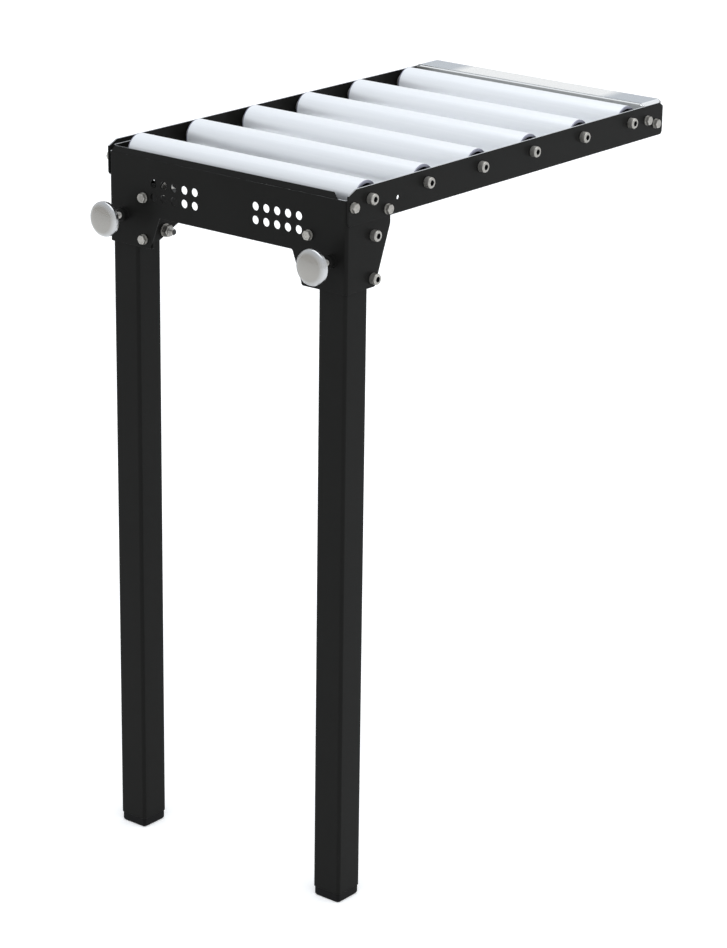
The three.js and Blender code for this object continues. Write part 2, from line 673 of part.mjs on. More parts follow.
// End crossmember: a channel between the plate's tabs, whose web meets the machine
function endCrossmember() {
  const plan = channelPlan(tabInside, CROSS_DEPTH, CROSS_SHEET, CROSS_BEND);
  const channel = sheetXY(plan, crossBottom, crossTop).rotateZ(Math.PI);
  const inside = tabInside - CROSS_SHEET;
  const nuts = endBolts.flatMap(({ y, z }) => [
    rodX(y, z, CLINCH_NUT_DIAMETER / 2, -inside - CROSS_SHEET / 2, CLINCH_NUT_LENGTH - inside),
    rodX(y, z, CLINCH_NUT_DIAMETER / 2, inside - CLINCH_NUT_LENGTH, inside + CROSS_SHEET / 2),
  ]);
  const boltHole = around(HEX_BOLT_DIAMETER / 2, HOLE_PLAY);
  const machineZ = (crossBottom + crossTop) / 2;
  const [holeFrom, holeTo] = [railLength - 2 * CROSS_SHEET, railLength + CROSS_SHEET];
  const holes = [
    ...endBolts.map(({ y, z }) => rodX(y, z, boltHole, -halfWidth, halfWidth)),
    ...SIDES.map(({ sign }) =>
      rodY((sign * MACHINE_HOLE_SPACING) / 2, machineZ, MACHINE_HOLE_DIAMETER / 2, holeFrom, holeTo),
    ),
  ];
  const body = join(solid(channel.translate(0, railLength, 0)), nuts);
  return piece('end_crossmember', cut(body, holes), POWDER_COAT);
}

// Fasteners
function crossBolt(name) {
  const shank = CAP_SCREW_DIAMETER / 2;
  const head = CAP_HEAD_DIAMETER / 2;
  const profile = [
    point(0, -CROSS_BOLT_LENGTH),
    point(shank, -CROSS_BOLT_LENGTH),
    point(shank, 0),
    point(head, 0),
    point(head, CAP_HEAD_HEIGHT),
    point(0, CAP_HEAD_HEIGHT),
  ];
  const socket = hexBar(SOCKET_FLATS, CAP_HEAD_HEIGHT - SOCKET_DEPTH, CAP_HEAD_HEIGHT + SOCKET_DEPTH);
  return piece(name, cut(solid(turned(profile)), [socket]), BRIGHT_ZINC);
}

function lockNut(name) {
  const hexTop = WASHER_THICKNESS + NUT_HEIGHT;
  const top = hexTop + NUT_COLLAR_HEIGHT;
  const washer = solid(rod(NUT_WASHER_DIAMETER / 2, 0, WASHER_THICKNESS));
  const nut = join(washer, [
    hexBar(NUT_FLATS, WASHER_THICKNESS / 2, hexTop),
    rod(NUT_COLLAR_DIAMETER / 2, hexTop - NUT_COLLAR_HEIGHT, top),
  ]);
  const bore = rod(around(CAP_SCREW_DIAMETER / 2, HOLE_PLAY), -top, 2 * top);
  return piece(name, cut(nut, [bore]), BRIGHT_ZINC);
}

function hexBolt(name) {
  const shank = solid(rod(HEX_BOLT_DIAMETER / 2, -HEX_BOLT_LENGTH, WASHER_THICKNESS));
  const bolt = join(shank, [
    rod(HEX_WASHER_DIAMETER / 2, 0, WASHER_THICKNESS),
    hexBar(HEX_HEAD_FLATS, WASHER_THICKNESS / 2, WASHER_THICKNESS + HEX_HEAD_HEIGHT),
  ]);
  return piece(name, bolt, BRIGHT_ZINC);
}

function fasteners({ name, sign, outward, inward }) {
  const group = new THREE.Group();
  const levels = ['upper', 'lower'];
  const ends = ['front', 'rear'];
  clampBoltZ.forEach((z, i) => {
    const label = `${name}_${levels[i]}`;
    group.add(
      place(crossBolt(`${label}_cross_bolt`), outward, sign * railInside, crossBoltY, z),
      place(lockNut(`${label}_lock_nut`), inward, sign * bracketInside, crossBoltY, z),
      place(hexBolt(`${label}_ear_bolt`), 'front', sign * earBoltX, 0, z),
    );
  });
  ends.forEach((end, i) => {
    const side = sideBolts[i];
    const far = endBolts[i];
    group.add(
      place(hexBolt(`${name}_${end}_side_bolt`), outward, sign * halfWidth, side.y, side.z),
      place(hexBolt(`${name}_${end}_end_bolt`), outward, sign * halfWidth, far.y, far.z),
    );
  });
  return group;
}

// The whole table, with its origin on the floor below the middle of its outline
const table = new THREE.Group();
table.add(frontPanel(), bridgePlate(), endCrossmember());
for (const side of SIDES) {
  table.add(sideRail(side), legBracket(side), leg(side), clamp(side), fasteners(side));
}
rollerPlaces().forEach((y, index) => table.add(roller(y, index)));
table.position.y = (knobFront - railLength) / 2;

const outfeedTable = new THREE.Group();
outfeedTable.add(table);

export default outfeedTable;
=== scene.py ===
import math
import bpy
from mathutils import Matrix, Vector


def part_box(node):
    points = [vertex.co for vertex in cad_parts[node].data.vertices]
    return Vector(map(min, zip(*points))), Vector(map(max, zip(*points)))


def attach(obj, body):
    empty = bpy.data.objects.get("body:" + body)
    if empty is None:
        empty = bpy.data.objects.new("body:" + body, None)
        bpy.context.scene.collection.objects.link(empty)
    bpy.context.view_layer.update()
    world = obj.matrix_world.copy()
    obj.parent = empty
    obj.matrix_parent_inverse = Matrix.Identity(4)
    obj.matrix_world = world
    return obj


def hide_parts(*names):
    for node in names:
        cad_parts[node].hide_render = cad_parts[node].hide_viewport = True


bl_info = {
    "name": "Roller outfeed table",
    "version": (1, 0, 0),
    "blender": (4, 5, 0),
    "location": "View3D > Sidebar > Outfeed table",
    "description": "Builds the visible pieces of a roller outfeed table on its packed frame",
    "category": "Add Mesh",
}

import bmesh
import bpy
from bpy.props import FloatProperty, FloatVectorProperty, IntProperty, PointerProperty
from mathutils import Matrix, Vector

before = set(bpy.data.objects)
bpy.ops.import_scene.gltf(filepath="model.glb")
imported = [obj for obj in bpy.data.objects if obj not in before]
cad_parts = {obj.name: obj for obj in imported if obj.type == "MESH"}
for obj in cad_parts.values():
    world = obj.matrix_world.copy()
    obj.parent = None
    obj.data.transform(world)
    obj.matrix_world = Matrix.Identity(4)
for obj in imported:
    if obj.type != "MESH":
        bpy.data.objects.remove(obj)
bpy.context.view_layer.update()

# Pieces are drawn in millimetres from the front panel's face and the floor, then moved to the frame's origin.
# The leg brackets lie one sheet behind that face.
MM = 0.001
SHEET = 2.0
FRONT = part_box("left_leg_bracket")[0].y - SHEET * MM

SIDES = (("left", -1), ("right", 1))
LEVELS = ("upper", "lower")
ENDS = ("front", "rear")
ROLLERS = range(1, 7)

# Turns about the vertical that make a piece drawn along X face this way
QUARTER = math.pi / 2
FACING = {"right": 0.0, "left": math.pi, "front": -QUARTER, "back": QUARTER}
INWARD = {"right": FACING["left"], "left": FACING["right"]}

# Facets of round shapes, steps across bends and domes, and the angle above which an edge stays crisp
ROUND_FACETS = 96
HOLE_FACETS = 32
BEND_STEPS = 8
CORNER_STEPS = 6
DOME_STEPS = 24
CRISP_ANGLE = math.radians(24)

# Distances at which points are one and cuts snap to points
WELD = 1e-3
SNAP = 1e-4

# Radii of the M8 screws, the M6 bolts and their holes, washers' thickness, slope of hexagons' corners
SCREW = 4.0
SCREW_HOLE = 4.3
BOLT = 3.0
BOLT_HOLE = 3.3
WASHER = 1.6
CHAMFER = math.tan(math.radians(30))

# Depth of a thread as a share of its pitch
THREAD_DEPTH = 0.55

# Socket heads: knurled outside, with a six-sided socket
HEAD_RADIUS = 6.5
HEAD_HEIGHT = 8.0
HEAD_FACE = 5.9
KNURL = 0.14
SOCKET_FLATS = 6.0
SOCKET_DEPTH = 4.0

# Planes that a flat blank is drawn in: across the front, along a rail, and seen from above
FRONT_PLANE = Matrix(((1, 0, 0, 0), (0, 0, 1, 0), (0, 1, 0, 0), (0, 0, 0, 1)))
RAIL_PLANE = Matrix(((0, 0, 1, 0), (1, 0, 0, 0), (0, 1, 0, 0), (0, 0, 0, 1)))
TOP_PLANE = Matrix.Diagonal((1, 1, -1, 1))


def linear(code):
    """A six-digit sRGB hex colour as linear RGBA."""
    channels = [int(code[i : i + 2], 16) / 255 for i in (1, 3, 5)]
    curved = [c / 12.92 if c <= 0.04045 else ((c + 0.055) / 1.055) ** 2.4 for c in channels]
    return (*curved, 1.0)


def length(title, words, default):
    """A length that a user may change, stated in millimetres and kept in metres."""
    return FloatProperty(
        name=title, description=words, default=default * MM, min=0.0, unit="LENGTH", precision=5
    )


def shade(title, words, code):
    """A colour that a user may change."""
    return FloatVectorProperty(
        name=title, description=words, default=linear(code), size=4, min=0.0, max=1.0, subtype="COLOR"
    )


class OutfeedSizes(bpy.types.PropertyGroup):
    """Sizes of the visible pieces that the frame's boxes don't give."""

    edge_round: length("Sheet edge", "Rounding along the edges of cut sheet", 0.35)
    panel_bend: length("Panel bend", "Outer radius of the front panel's corner bends", 4.0)
    panel_depth: length("Panel depth", "Lower edge of the panel below the rails' top edges", 80.0)
    lip_run: length("Lip run", "How far the panel's leaning lip reaches back", 6.0)
    lip_bend: length("Lip bend", "Outer radius of the lip's fold", 2.5)
    lip_inset: length("Lip inset", "Right end of the lip's fold inside the panel's corner", 13.0)
    lip_slant: length("Lip slant", "How far the lip's right end slants inwards", 10.0)
    ear_top_reach: length("Ear top reach", "Ear's inner edge inside the leg socket, at its top", 36.0)
    ear_foot_reach: length("Ear foot reach", "Ear's inner edge inside the leg socket, at its foot", 21.0)
    flange_foot: length("Flange foot", "Lower back corner of the flange behind the cross bolts", 4.7)
    flange_clip: length("Flange clip", "Clipped top corners of the flanges", 4.5)
    flange_shoulder: length("Flange shoulder", "Top of the slanted back edge below the rails' tops", 51.0)
    hole_diameter: length("Perforation hole", "Diameter of the panel's perforations", 10.0)
    hole_pitch: length("Perforation pitch", "Spacing of the panel's perforations", 16.0)
    hole_inset: length("Perforation inset", "Middle of a hole group inside the ear's inner edge", 23.0)
    hole_rise: length("Perforation rise", "Middle of a hole group above the panel's lower edge", 32.0)
    hole_columns: IntProperty(name="Perforation columns", description="Holes in a row", default=5, min=1)
    hole_rows: IntProperty(name="Perforation rows", description="Rows of holes", default=2, min=1)
    near_clip_run: length("Near clip run", "Length of the rails' clipped near corners", 14.0)
    near_clip_drop: length("Near clip drop", "Height of the rails' clipped near corners", 6.5)
    far_clip_run: length("Far clip run", "Length of the rails' clipped far corners", 8.0)
    far_clip_drop: length("Far clip drop", "Height of the rails' clipped far corners", 5.0)
    rail_corner: length("Rail corner", "Radius of the rails' lower corners", 5.0)
    spare_hole: length("Spare hole", "Diameter of the rails' spare holes", 5.5)
    spare_back: length("Spare hole spacing", "Spare hole behind the rear side bolt", 19.5)
    spare_drop: length("Spare hole drop", "Spare hole below the rails' top edges", 23.0)
    bracket_bend: length("Bracket bend", "Outer radius of the leg brackets' bend", 3.0)
    leg_wall: length("Leg wall", "Wall of the square leg tube", 2.0)
    leg_corner: length("Leg corner", "Corner radius of the square leg tube", 4.0)
    roller_wall: length("Roller wall", "Wall of the roller tube", 1.5)
    cap_ring: length("Cap ring", "Width of the ring round a roller's end cap", 3.6)
    cap_recess: length("Cap recess", "Recess inside that ring", 5.0)
    axle_diameter: length("Axle", "Diameter of the rollers' axles", 12.0)
    boss_diameter: length("Boss", "Diameter of the end caps' bosses and of the axles' shoulders", 18.0)
    plate_sheet: length("Bridge plate sheet", "Thickness of the bridge plate", 1.5)
    plate_depth: length("Bridge plate depth", "Bridge plate from its front to the rails' far ends", 39.0)
    plate_bend: length("Bridge plate bend", "Outer radius of the folds along the bridge plate", 3.0)
    plate_end_bend: length("Bridge plate end bend", "Outer radius of the folds at the plate's ends", 7.0)
    plate_front_lip: length("Bridge plate front lip", "Depth of the fold facing the rollers", 12.5)
    plate_back_lip: length("Bridge plate back lip", "Depth of the fold facing the machine", 8.0)
    machine_holes: length("Machine holes", "Crossmember's machine holes from its middle", 110.0)
    knob_reach: length("Knob reach", "Room for the knob in front of its screw", 23.0)
    knob_back: length("Knob back", "Back of the knob's rim in front of its screw", 9.8)
    knob_rim: length("Knob rim", "Height of the knob's rim", 3.7)
    knob_dome: length("Knob dome", "Height of the knob's rounded face", 7.5)
    thread_pitch: length("Thread pitch", "Pitch of the clamp screws and cross bolts", 1.25)


class OutfeedFinishes(bpy.types.PropertyGroup):
    """Colours of the finishes."""

    powder_coat: shade("Powder coat", "Black powder coat on the sheets and legs", "#191918")
    powder_coat_thin: shade("Powder coat, thin", "Powder coat where it lies thinner", "#1d1d1c")
    # Painted highlight along the table's top edges, drawn as rubbed steel
    edge_highlight: shade("Rubbed edge", "Steel on the table's top edges, rubbed by the work", "#c6c8ca")
    zinc: shade("Zinc plate", "Bright zinc on the fasteners", "#bcbab5")
    zinc_dull: shade("Zinc plate, dulled", "Zinc where it has dulled", "#95928c")
    roller: shade("Roller tube", "Satin tube of the rollers", "#ebedf0")
    roller_streak: shade("Roller tube, streaks", "Fine drawn streaks on the rollers", "#e2e5e9")
    # Painted shade: the tube's plating in its shaded grey
    cap_ring: shade("Roller end ring", "Plated ring round the end caps", "#8e8f9d")
    cap: shade("Roller end cap", "Moulded inside of the end caps", "#131419")
    # Painted shade inside the socket heads
    grease: shade("Socket grease", "Grease and shade inside the socket heads", "#17181a")
    stainless: shade("Bridge plate", "Bright stainless sheet", "#fbfcfc")
    # Painted reflections on the bridge plate's ends and folds
    stainless_shade: shade("Bridge plate, ends", "Blue-grey that the plate's ends reflect", "#b4bcc6")
    stainless_dark: shade("Bridge plate, folds", "Grey that the plate's folded edges reflect", "#a9aaa9")
    aluminium: shade("Clamp knob", "Turned aluminium", "#9a9894")
    # Painted highlight on the knob's rim
    aluminium_rim_highlight: shade("Clamp knob, edge", "Rim of the knob, polished by hands", "#bebfc0")
    foot: shade("Foot", "Moulded feet", "#0b0b0c")
    brass: shade("Pressure pad", "Brass pads of the clamp screws", "#b5924f")
    insert: shade("Lock-nut insert", "Nylon ring of the lock nuts", "#c9ccd2")
    floor: shade("Floor", "Pale studio floor", "#f3f3f3")


def size(name):
    """A size in millimetres."""
    return getattr(bpy.context.scene.outfeed_sizes, name) / MM


def colour(name):
    """A finish's linear colour."""
    return tuple(getattr(bpy.context.scene.outfeed_finishes, name))


def span(node):
    """A frame node's lowest and highest corners in millimetres from the front panel's face."""
    low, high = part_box(node)
    shift = Vector((0, FRONT, 0))
    return (low - shift) / MM, (high - shift) / MM


def centre(node):
    low, high = span(node)
    return (low + high) / 2


# Outlines


def turns(facets):
    """Angles evenly spaced round a circle."""
    return [2 * math.pi * i / facets for i in range(facets)]


def polar(radii):
    """An outline from evenly spaced radii."""
    return [(r * math.cos(t), r * math.sin(t)) for r, t in zip(radii, turns(len(radii)))]


def circle(u, v, radius, facets=HOLE_FACETS):
    return [(u + x, v + y) for x, y in polar([radius] * facets)]


def hexagon(flats):
    """A six-sided outline with as many points as a round one."""
    sixth = math.pi / 3
    return polar([flats / 2 / math.cos(t % sixth - sixth / 2) for t in turns(ROUND_FACETS)])


def knurled():
    """A socket head's outline, with a notch at every other point."""
    return polar([HEAD_RADIUS - KNURL * (i % 2) for i in range(ROUND_FACETS)])


def rounded(corners):
    """An outline through corners given as (u, v, radius)."""
    points = []
    for i, (u, v, radius) in enumerate(corners):
        corner = Vector((u, v))
        to_last = (Vector(corners[i - 1][:2]) - corner).normalized()
        to_next = (Vector(corners[(i + 1) % len(corners)][:2]) - corner).normalized()
        half = math.acos(max(-1.0, min(1.0, to_last.dot(to_next)))) / 2
        if radius <= 0 or math.cos(half) < SNAP:
            points.append((u, v))
            continue
        reach = radius / math.tan(half)
        middle = corner + (to_last + to_next).normalized() * (radius / math.sin(half))
        first = corner + to_last * reach - middle
        last = corner + to_next * reach - middle
        start = math.atan2(first.y, first.x)
        sweep = (math.atan2(last.y, last.x) - start + math.pi) % (2 * math.pi) - math.pi
        for step in range(CORNER_STEPS + 1):
            turn = start + sweep * step / CORNER_STEPS
            points.append((middle.x + radius * math.cos(turn), middle.y + radius * math.sin(turn)))
    return points


def mirrored(corners):
    """The mirror images of a right half's corners, in the order that closes the outline."""
    return [(-u, v, radius) for u, v, radius in reversed(corners)]


def square(width, corner):
    half = width / 2
    return rounded([(u * half, v * half, corner) for u, v in ((1, 1), (-1, 1), (-1, -1), (1, -1))])


def unrolled(edge, bend, travel):
    """Where a place that lies travel behind a bent sheet's outer face is on its flat blank."""
    return edge - bend + bend * QUARTER + travel - bend


# Solids


def blank(outline, holes, thickness):
    """A flat sheet with rounded edges, from z = 0 on its outer face to its thickness."""
    edge = size("edge_round")
    drawing = bpy.data.curves.new("blank", "CURVE")
    drawing.dimensions = "2D"
    drawing.fill_mode = "BOTH"
    drawing.extrude = thickness / 2 - edge
    drawing.bevel_depth = edge
    drawing.bevel_resolution = 1
    drawing.offset = -edge
    for loop in (outline, *holes):
        spline = drawing.splines.new("POLY")
        spline.points.add(len(loop) - 1)
        for mark, (u, v) in zip(spline.points, loop):
            mark.co = (u, v, 0, 1)
        spline.use_cyclic_u = True
    holder = bpy.data.objects.new("blank", drawing)
    bpy.context.scene.collection.objects.link(holder)
    seen = holder.evaluated_get(bpy.context.evaluated_depsgraph_get())
    mesh = bpy.data.meshes.new_from_object(seen)
    body = bmesh.new()
    body.from_mesh(mesh)
    body.transform(Matrix.Translation((0, 0, thickness / 2)))
    bmesh.ops.remove_doubles(body, verts=body.verts, dist=WELD)
    bpy.data.objects.remove(holder)
    bpy.data.curves.remove(drawing)
    bpy.data.meshes.remove(mesh)
    return body


def fold(body, along, start, radius, angle=QUARTER, where=None):
    """Bends a blank beyond start, in direction along, towards its inner face.

    The radius is the outer face's, and a test on the place may leave parts flat."""
    along = Vector(along)
    for step in range(BEND_STEPS + 1):
        everything = body.verts[:] + body.edges[:] + body.faces[:]
        place = along * (start + radius * angle * step / BEND_STEPS)
        bmesh.ops.bisect_plane(body, geom=everything, dist=SNAP, plane_co=place, plane_no=along)
    for vert in body.verts:
        travel = vert.co.dot(along) - start
        if travel <= 0 or (where is not None and not where(vert.co)):
            continue
        turn = min(travel / radius, angle)
        rest = travel - radius * turn
        inner = radius - vert.co.z
        moved = inner * math.sin(turn) + rest * math.cos(turn)
        vert.co += along * (moved - travel)
        vert.co.z = radius - inner * math.cos(turn) + rest * math.sin(turn)


def fold_ends(body, start, radius, where=None):
    """Bends both ends of a blank at right angles."""
    for sign in (1, -1):
        fold(body, (sign, 0, 0), start, radius, where=where)


def ring(along, outline):
    return [Vector((along, u, v)) for u, v in outline]


def disc(along, radius):
    """A round ring on the X axis, or its pole where the radius is 0."""
    if radius <= 0:
        return [Vector((along, 0, 0))]
    return ring(along, circle(0, 0, radius, ROUND_FACETS))


def discs(profile):
    """Round rings from (along, radius) points."""
    return [disc(along, radius) for along, radius in profile]


def chamfered(along, flats, shoulder, slope):
    """A six-sided ring whose corners lie back from a shoulder's radius by a slope."""
    corners = hexagon(flats)
    return [Vector((along + (math.hypot(u, v) - shoulder) * slope, u, v)) for u, v in corners]


def lofted(rings, loop=False):
    """A closed solid through rings of points; a loop joins the last ring to the first."""
    body = bmesh.new()
    rows = [[body.verts.new(spot) for spot in spots] for spots in rings]
    pairs = list(zip(rows, rows[1:]))
    if loop:
        pairs.append((rows[-1], rows[0]))
    for first, second in pairs:
        count = max(len(first), len(second))
        for i in range(count):
            j = (i + 1) % count
            near = [first[i % len(first)], first[j % len(first)]]
            far = [second[j % len(second)], second[i % len(second)]]
            body.faces.new(list(dict.fromkeys(near + far)))
    if not loop:
        for row in (rows[0], rows[-1]):
            if len(row) > 1:
                body.faces.new(row)
    return body


def turned(profile, loop=False):
    """A solid turned on the X axis from (along, radius) points."""
    return lofted(discs(profile), loop)


def thread(start, end, radius):
    """Points of a thread's profile between two places on a screw."""
    pitch = size("thread_pitch")
    root = radius - THREAD_DEPTH * pitch
    count = max(1, round((end - start) / pitch))
    step = (end - start) / count
    points = []
    for i in range(count):
        points += [(start + step * i, root), (start + step * (i + 0.5), radius)]
    return points + [(end, root)]


def keep(name, body, maker, nodes=(), rides_on="frame", plane=None, at=(0, 0, 0), facing=0.0, lining=None):
    """Makes a piece of the object from a solid in millimetres and puts it on a body of the frame.

    A lining is a second finish, with a test of the places that have it."""
    if lining is not None:
        for face in body.faces:
            face.material_index = int(lining[1](face.calc_center_median()))
    shape = Matrix.Scale(MM, 4)
    if plane is not None:
        shape = shape @ plane
    body.transform(shape)
    bmesh.ops.recalc_face_normals(body, faces=body.faces)
    mesh = bpy.data.meshes.new(name)
    body.to_mesh(mesh)
    body.free()
    mesh.polygons.foreach_set("use_smooth", [True] * len(mesh.polygons))
    mesh.set_sharp_from_angle(angle=CRISP_ANGLE)
    mesh.materials.append(finish(maker))
    if lining is not None:
        mesh.materials.append(finish(lining[0]))
    piece = bpy.data.objects.new(name, mesh)
    bpy.context.scene.collection.objects.link(piece)
    # Large faces keep their own direction up to the rounded edges round them.
    shading = piece.modifiers.new("Even faces", "WEIGHTED_NORMAL")
    shading.keep_sharp = True
    place = Vector(at) * MM + Vector((0, FRONT, 0))
    piece.matrix_world = Matrix.Translation(place) @ Matrix.Rotation(facing, 4, "Z")
    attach(piece, rides_on)
    if nodes:
        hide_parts(*nodes)


# Materials


def node(tree, kind, inputs=None, **settings):
    """Adds a shader node, sets its settings, and fills its inputs with values or links.

    An input given as a node takes that node's first output."""
    made = tree.nodes.new("ShaderNode" + kind)
    for key, value in settings.items():
        setattr(made, key, value)
    for key, value in (inputs or {}).items():
        if isinstance(value, bpy.types.Node):
            value = next(socket for socket in value.outputs if socket.enabled)
        if isinstance(value, bpy.types.NodeSocket):
            tree.links.new(value, made.inputs[key])
        else:
            made.inputs[key].default_value = value
    return made


def cleared(holder):
    """The emptied node tree of a new material or world."""
    holder.use_nodes = True
    holder.node_tree.nodes.clear()
    return holder.node_tree


def per(millimetres):
    """A texture scale whose pattern repeats about once in this length."""
    return 1 / (millimetres * MM)


def powder_coat(tree, spot):
    """Black polyester powder coat, sprayed and baked on steel, with a faint orange peel.

    It looks an even semi-gloss black, with a painted highlight in bright steel along the table's top edges."""
    # The real orange peel is about 0.5 mm, drawn at 1.2 mm so that it shows.
    peel = node(tree, "TexNoise", {"Vector": spot, "Scale": per(1.2), "Detail": 2.0})
    cloud = node(tree, "TexNoise", {"Vector": spot, "Scale": per(60), "Detail": 4.0})
    tones = {"Factor": cloud, "A": colour("powder_coat"), "B": colour("powder_coat_thin")}
    tone = node(tree, "Mix", tones, data_type="RGBA")
    # Painted highlight, drawn as rubbed steel, on edges that face up and lie above the rollers' axes; it
    # comes in over 2 mm.
    axis = centre("roller_1_axle").z
    facing = node(tree, "SeparateXYZ", {"Vector": node(tree, "NewGeometry").outputs["Normal"]}).outputs["Z"]
    upward = node(tree, "MapRange", {"Value": facing, "From Min": 0.8, "From Max": 0.97})
    height = node(tree, "SeparateXYZ", {"Vector": spot}).outputs["Z"]
    high = node(tree, "MapRange", {"Value": height, "From Min": axis * MM, "From Max": (axis + 2.0) * MM})
    # Mask of the painted top-edge highlight
    rubbed = node(tree, "Math", {0: upward, 1: high}, operation="MULTIPLY")
    coat = node(tree, "Mix", {"Factor": rubbed, "A": tone, "B": colour("edge_highlight")}, data_type="RGBA")
    glosses = {"From Min": 0.3, "From Max": 0.7, "To Min": 0.3, "To Max": 0.36}
    gloss = node(tree, "MapRange", {"Value": cloud, **glosses})
    bump = node(tree, "Bump", {"Height": peel, "Strength": 0.1, "Distance": 0.05 * MM})
    return node(
        tree,
        "BsdfPrincipled",
        {"Base Color": coat, "Roughness": gloss, "Normal": bump, "IOR": 1.5, "Specular IOR Level": 0.06},
    )


def bright_zinc(tree, spot):
    """Zinc electroplate on rolled steel screws.

    It gives a pale, slightly warm metal, part bright and part chalky, with fine marks."""
    patch = node(tree, "TexNoise", {"Vector": spot, "Scale": per(3), "Detail": 5.0})
    marks = node(tree, "TexNoise", {"Vector": spot, "Scale": per(0.6), "Detail": 3.0})
    tones = {"Factor": patch, "A": colour("zinc"), "B": colour("zinc_dull")}
    tone = node(tree, "Mix", tones, data_type="RGBA")
    gloss = node(tree, "MapRange", {"Value": patch, "To Min": 0.26, "To Max": 0.5})
    bump = node(tree, "Bump", {"Height": marks, "Strength": 0.2, "Distance": 0.05 * MM})
    metal = {"Base Color": tone, "Metallic": 0.75, "Roughness": gloss, "Normal": bump}
    return node(tree, "BsdfPrincipled", metal)


def patchy(tree, spot, tint, patch, detail, gloss, surface):
    """A surface of one colour, more and less rough in patches of a size in millimetres."""
    cloud = node(tree, "TexNoise", {"Vector": spot, "Scale": per(patch), "Detail": detail})
    rough = node(tree, "MapRange", {"Value": cloud, "To Min": gloss[0], "To Max": gloss[1]})
    return node(tree, "BsdfPrincipled", {"Base Color": colour(tint), "Roughness": rough, **surface})


def painted_socket_shade(tree, spot):
    """Painted shade inside a pressed socket, drawn as dark grease: nearly black, with a soft, uneven shine.
    """
    return patchy(tree, spot, "grease", 1.5, 3.0, (0.3, 0.6), {"IOR": 1.47})


def painted_shade_ring(tree, spot):
    """Pressed steel ring, plated like the tube and painted in its shaded grey: a mid grey with a cool cast
    and a satin shine.
    """
    return patchy(tree, spot, "cap_ring", 4.0, 3.0, (0.35, 0.5), {"Metallic": 0.6})


def cut_brass(tree, spot):
    """Brass rod, sawn and faced: a warm metal with fine marks."""
    return patchy(tree, spot, "brass", 0.8, 4.0, (0.25, 0.45), {"Metallic": 1.0})


def nylon_insert(tree, spot):
    """Undyed nylon, moulded: a pale, waxy ring that grips the bolt in a lock nut."""
    return patchy(tree, spot, "insert", 2.0, 2.0, (0.35, 0.5), {"IOR": 1.53})


def satin_tube(tree, spot):
    """Drawn tube with a satin plated finish: nearly white, with faint streaks along its length."""
    # Streaks 160 mm long and 1.5 mm wide, coarser than the real drawing marks so that they show.
    drawn = node(tree, "Mapping", {"Vector": spot, "Scale": (per(160), per(1.5), per(1.5))})
    streak = node(tree, "TexNoise", {"Vector": drawn, "Scale": 1.0, "Detail": 4.0})
    tones = {"Factor": streak, "A": colour("roller"), "B": colour("roller_streak")}
    tone = node(tree, "Mix", tones, data_type="RGBA")
    gloss = node(tree, "MapRange", {"Value": streak, "To Min": 0.34, "To Max": 0.44})
    bump = node(tree, "Bump", {"Height": streak, "Strength": 0.03, "Distance": 0.05 * MM})
    metal = {"Base Color": tone, "Metallic": 0.35, "Roughness": gloss, "Normal": bump}
    return node(tree, "BsdfPrincipled", metal)


def moulded(tree, spot, tint, grit, rough):
    """A moulded black plastic: a soft sheen broken by the mould's fine grit."""
    spark = node(tree, "TexNoise", {"Vector": spot, "Scale": per(grit), "Detail": 3.0})
    cloud = node(tree, "TexNoise", {"Vector": spot, "Scale": per(12), "Detail": 3.0})
    lift = node(tree, "MapRange", {"Value": cloud, "To Min": 0.8, "To Max": 1.3})
    tone = node(tree, "HueSaturation", {"Value": lift, "Color": colour(tint)})
    gloss = node(tree, "MapRange", {"Value": spark, "To Min": rough - 0.06, "To Max": rough + 0.06})
    bump = node(tree, "Bump", {"Height": spark, "Strength": 0.15, "Distance": 0.05 * MM})
    return node(
        tree,
        "BsdfPrincipled",
        {"Base Color": tone, "Roughness": gloss, "Normal": bump, "IOR": 1.5, "Specular IOR Level": 0.12},
    )


def roller_nylon(tree, spot):
    """Black nylon, moulded: the rollers' end caps, with a soft satin sheen."""
    return moulded(tree, spot, "cap", 0.8, 0.45)


def foot_plastic(tree, spot):
    """Black polyethylene, moulded: the legs' feet, duller than the end caps."""
    return moulded(tree, spot, "foot", 1.0, 0.55)


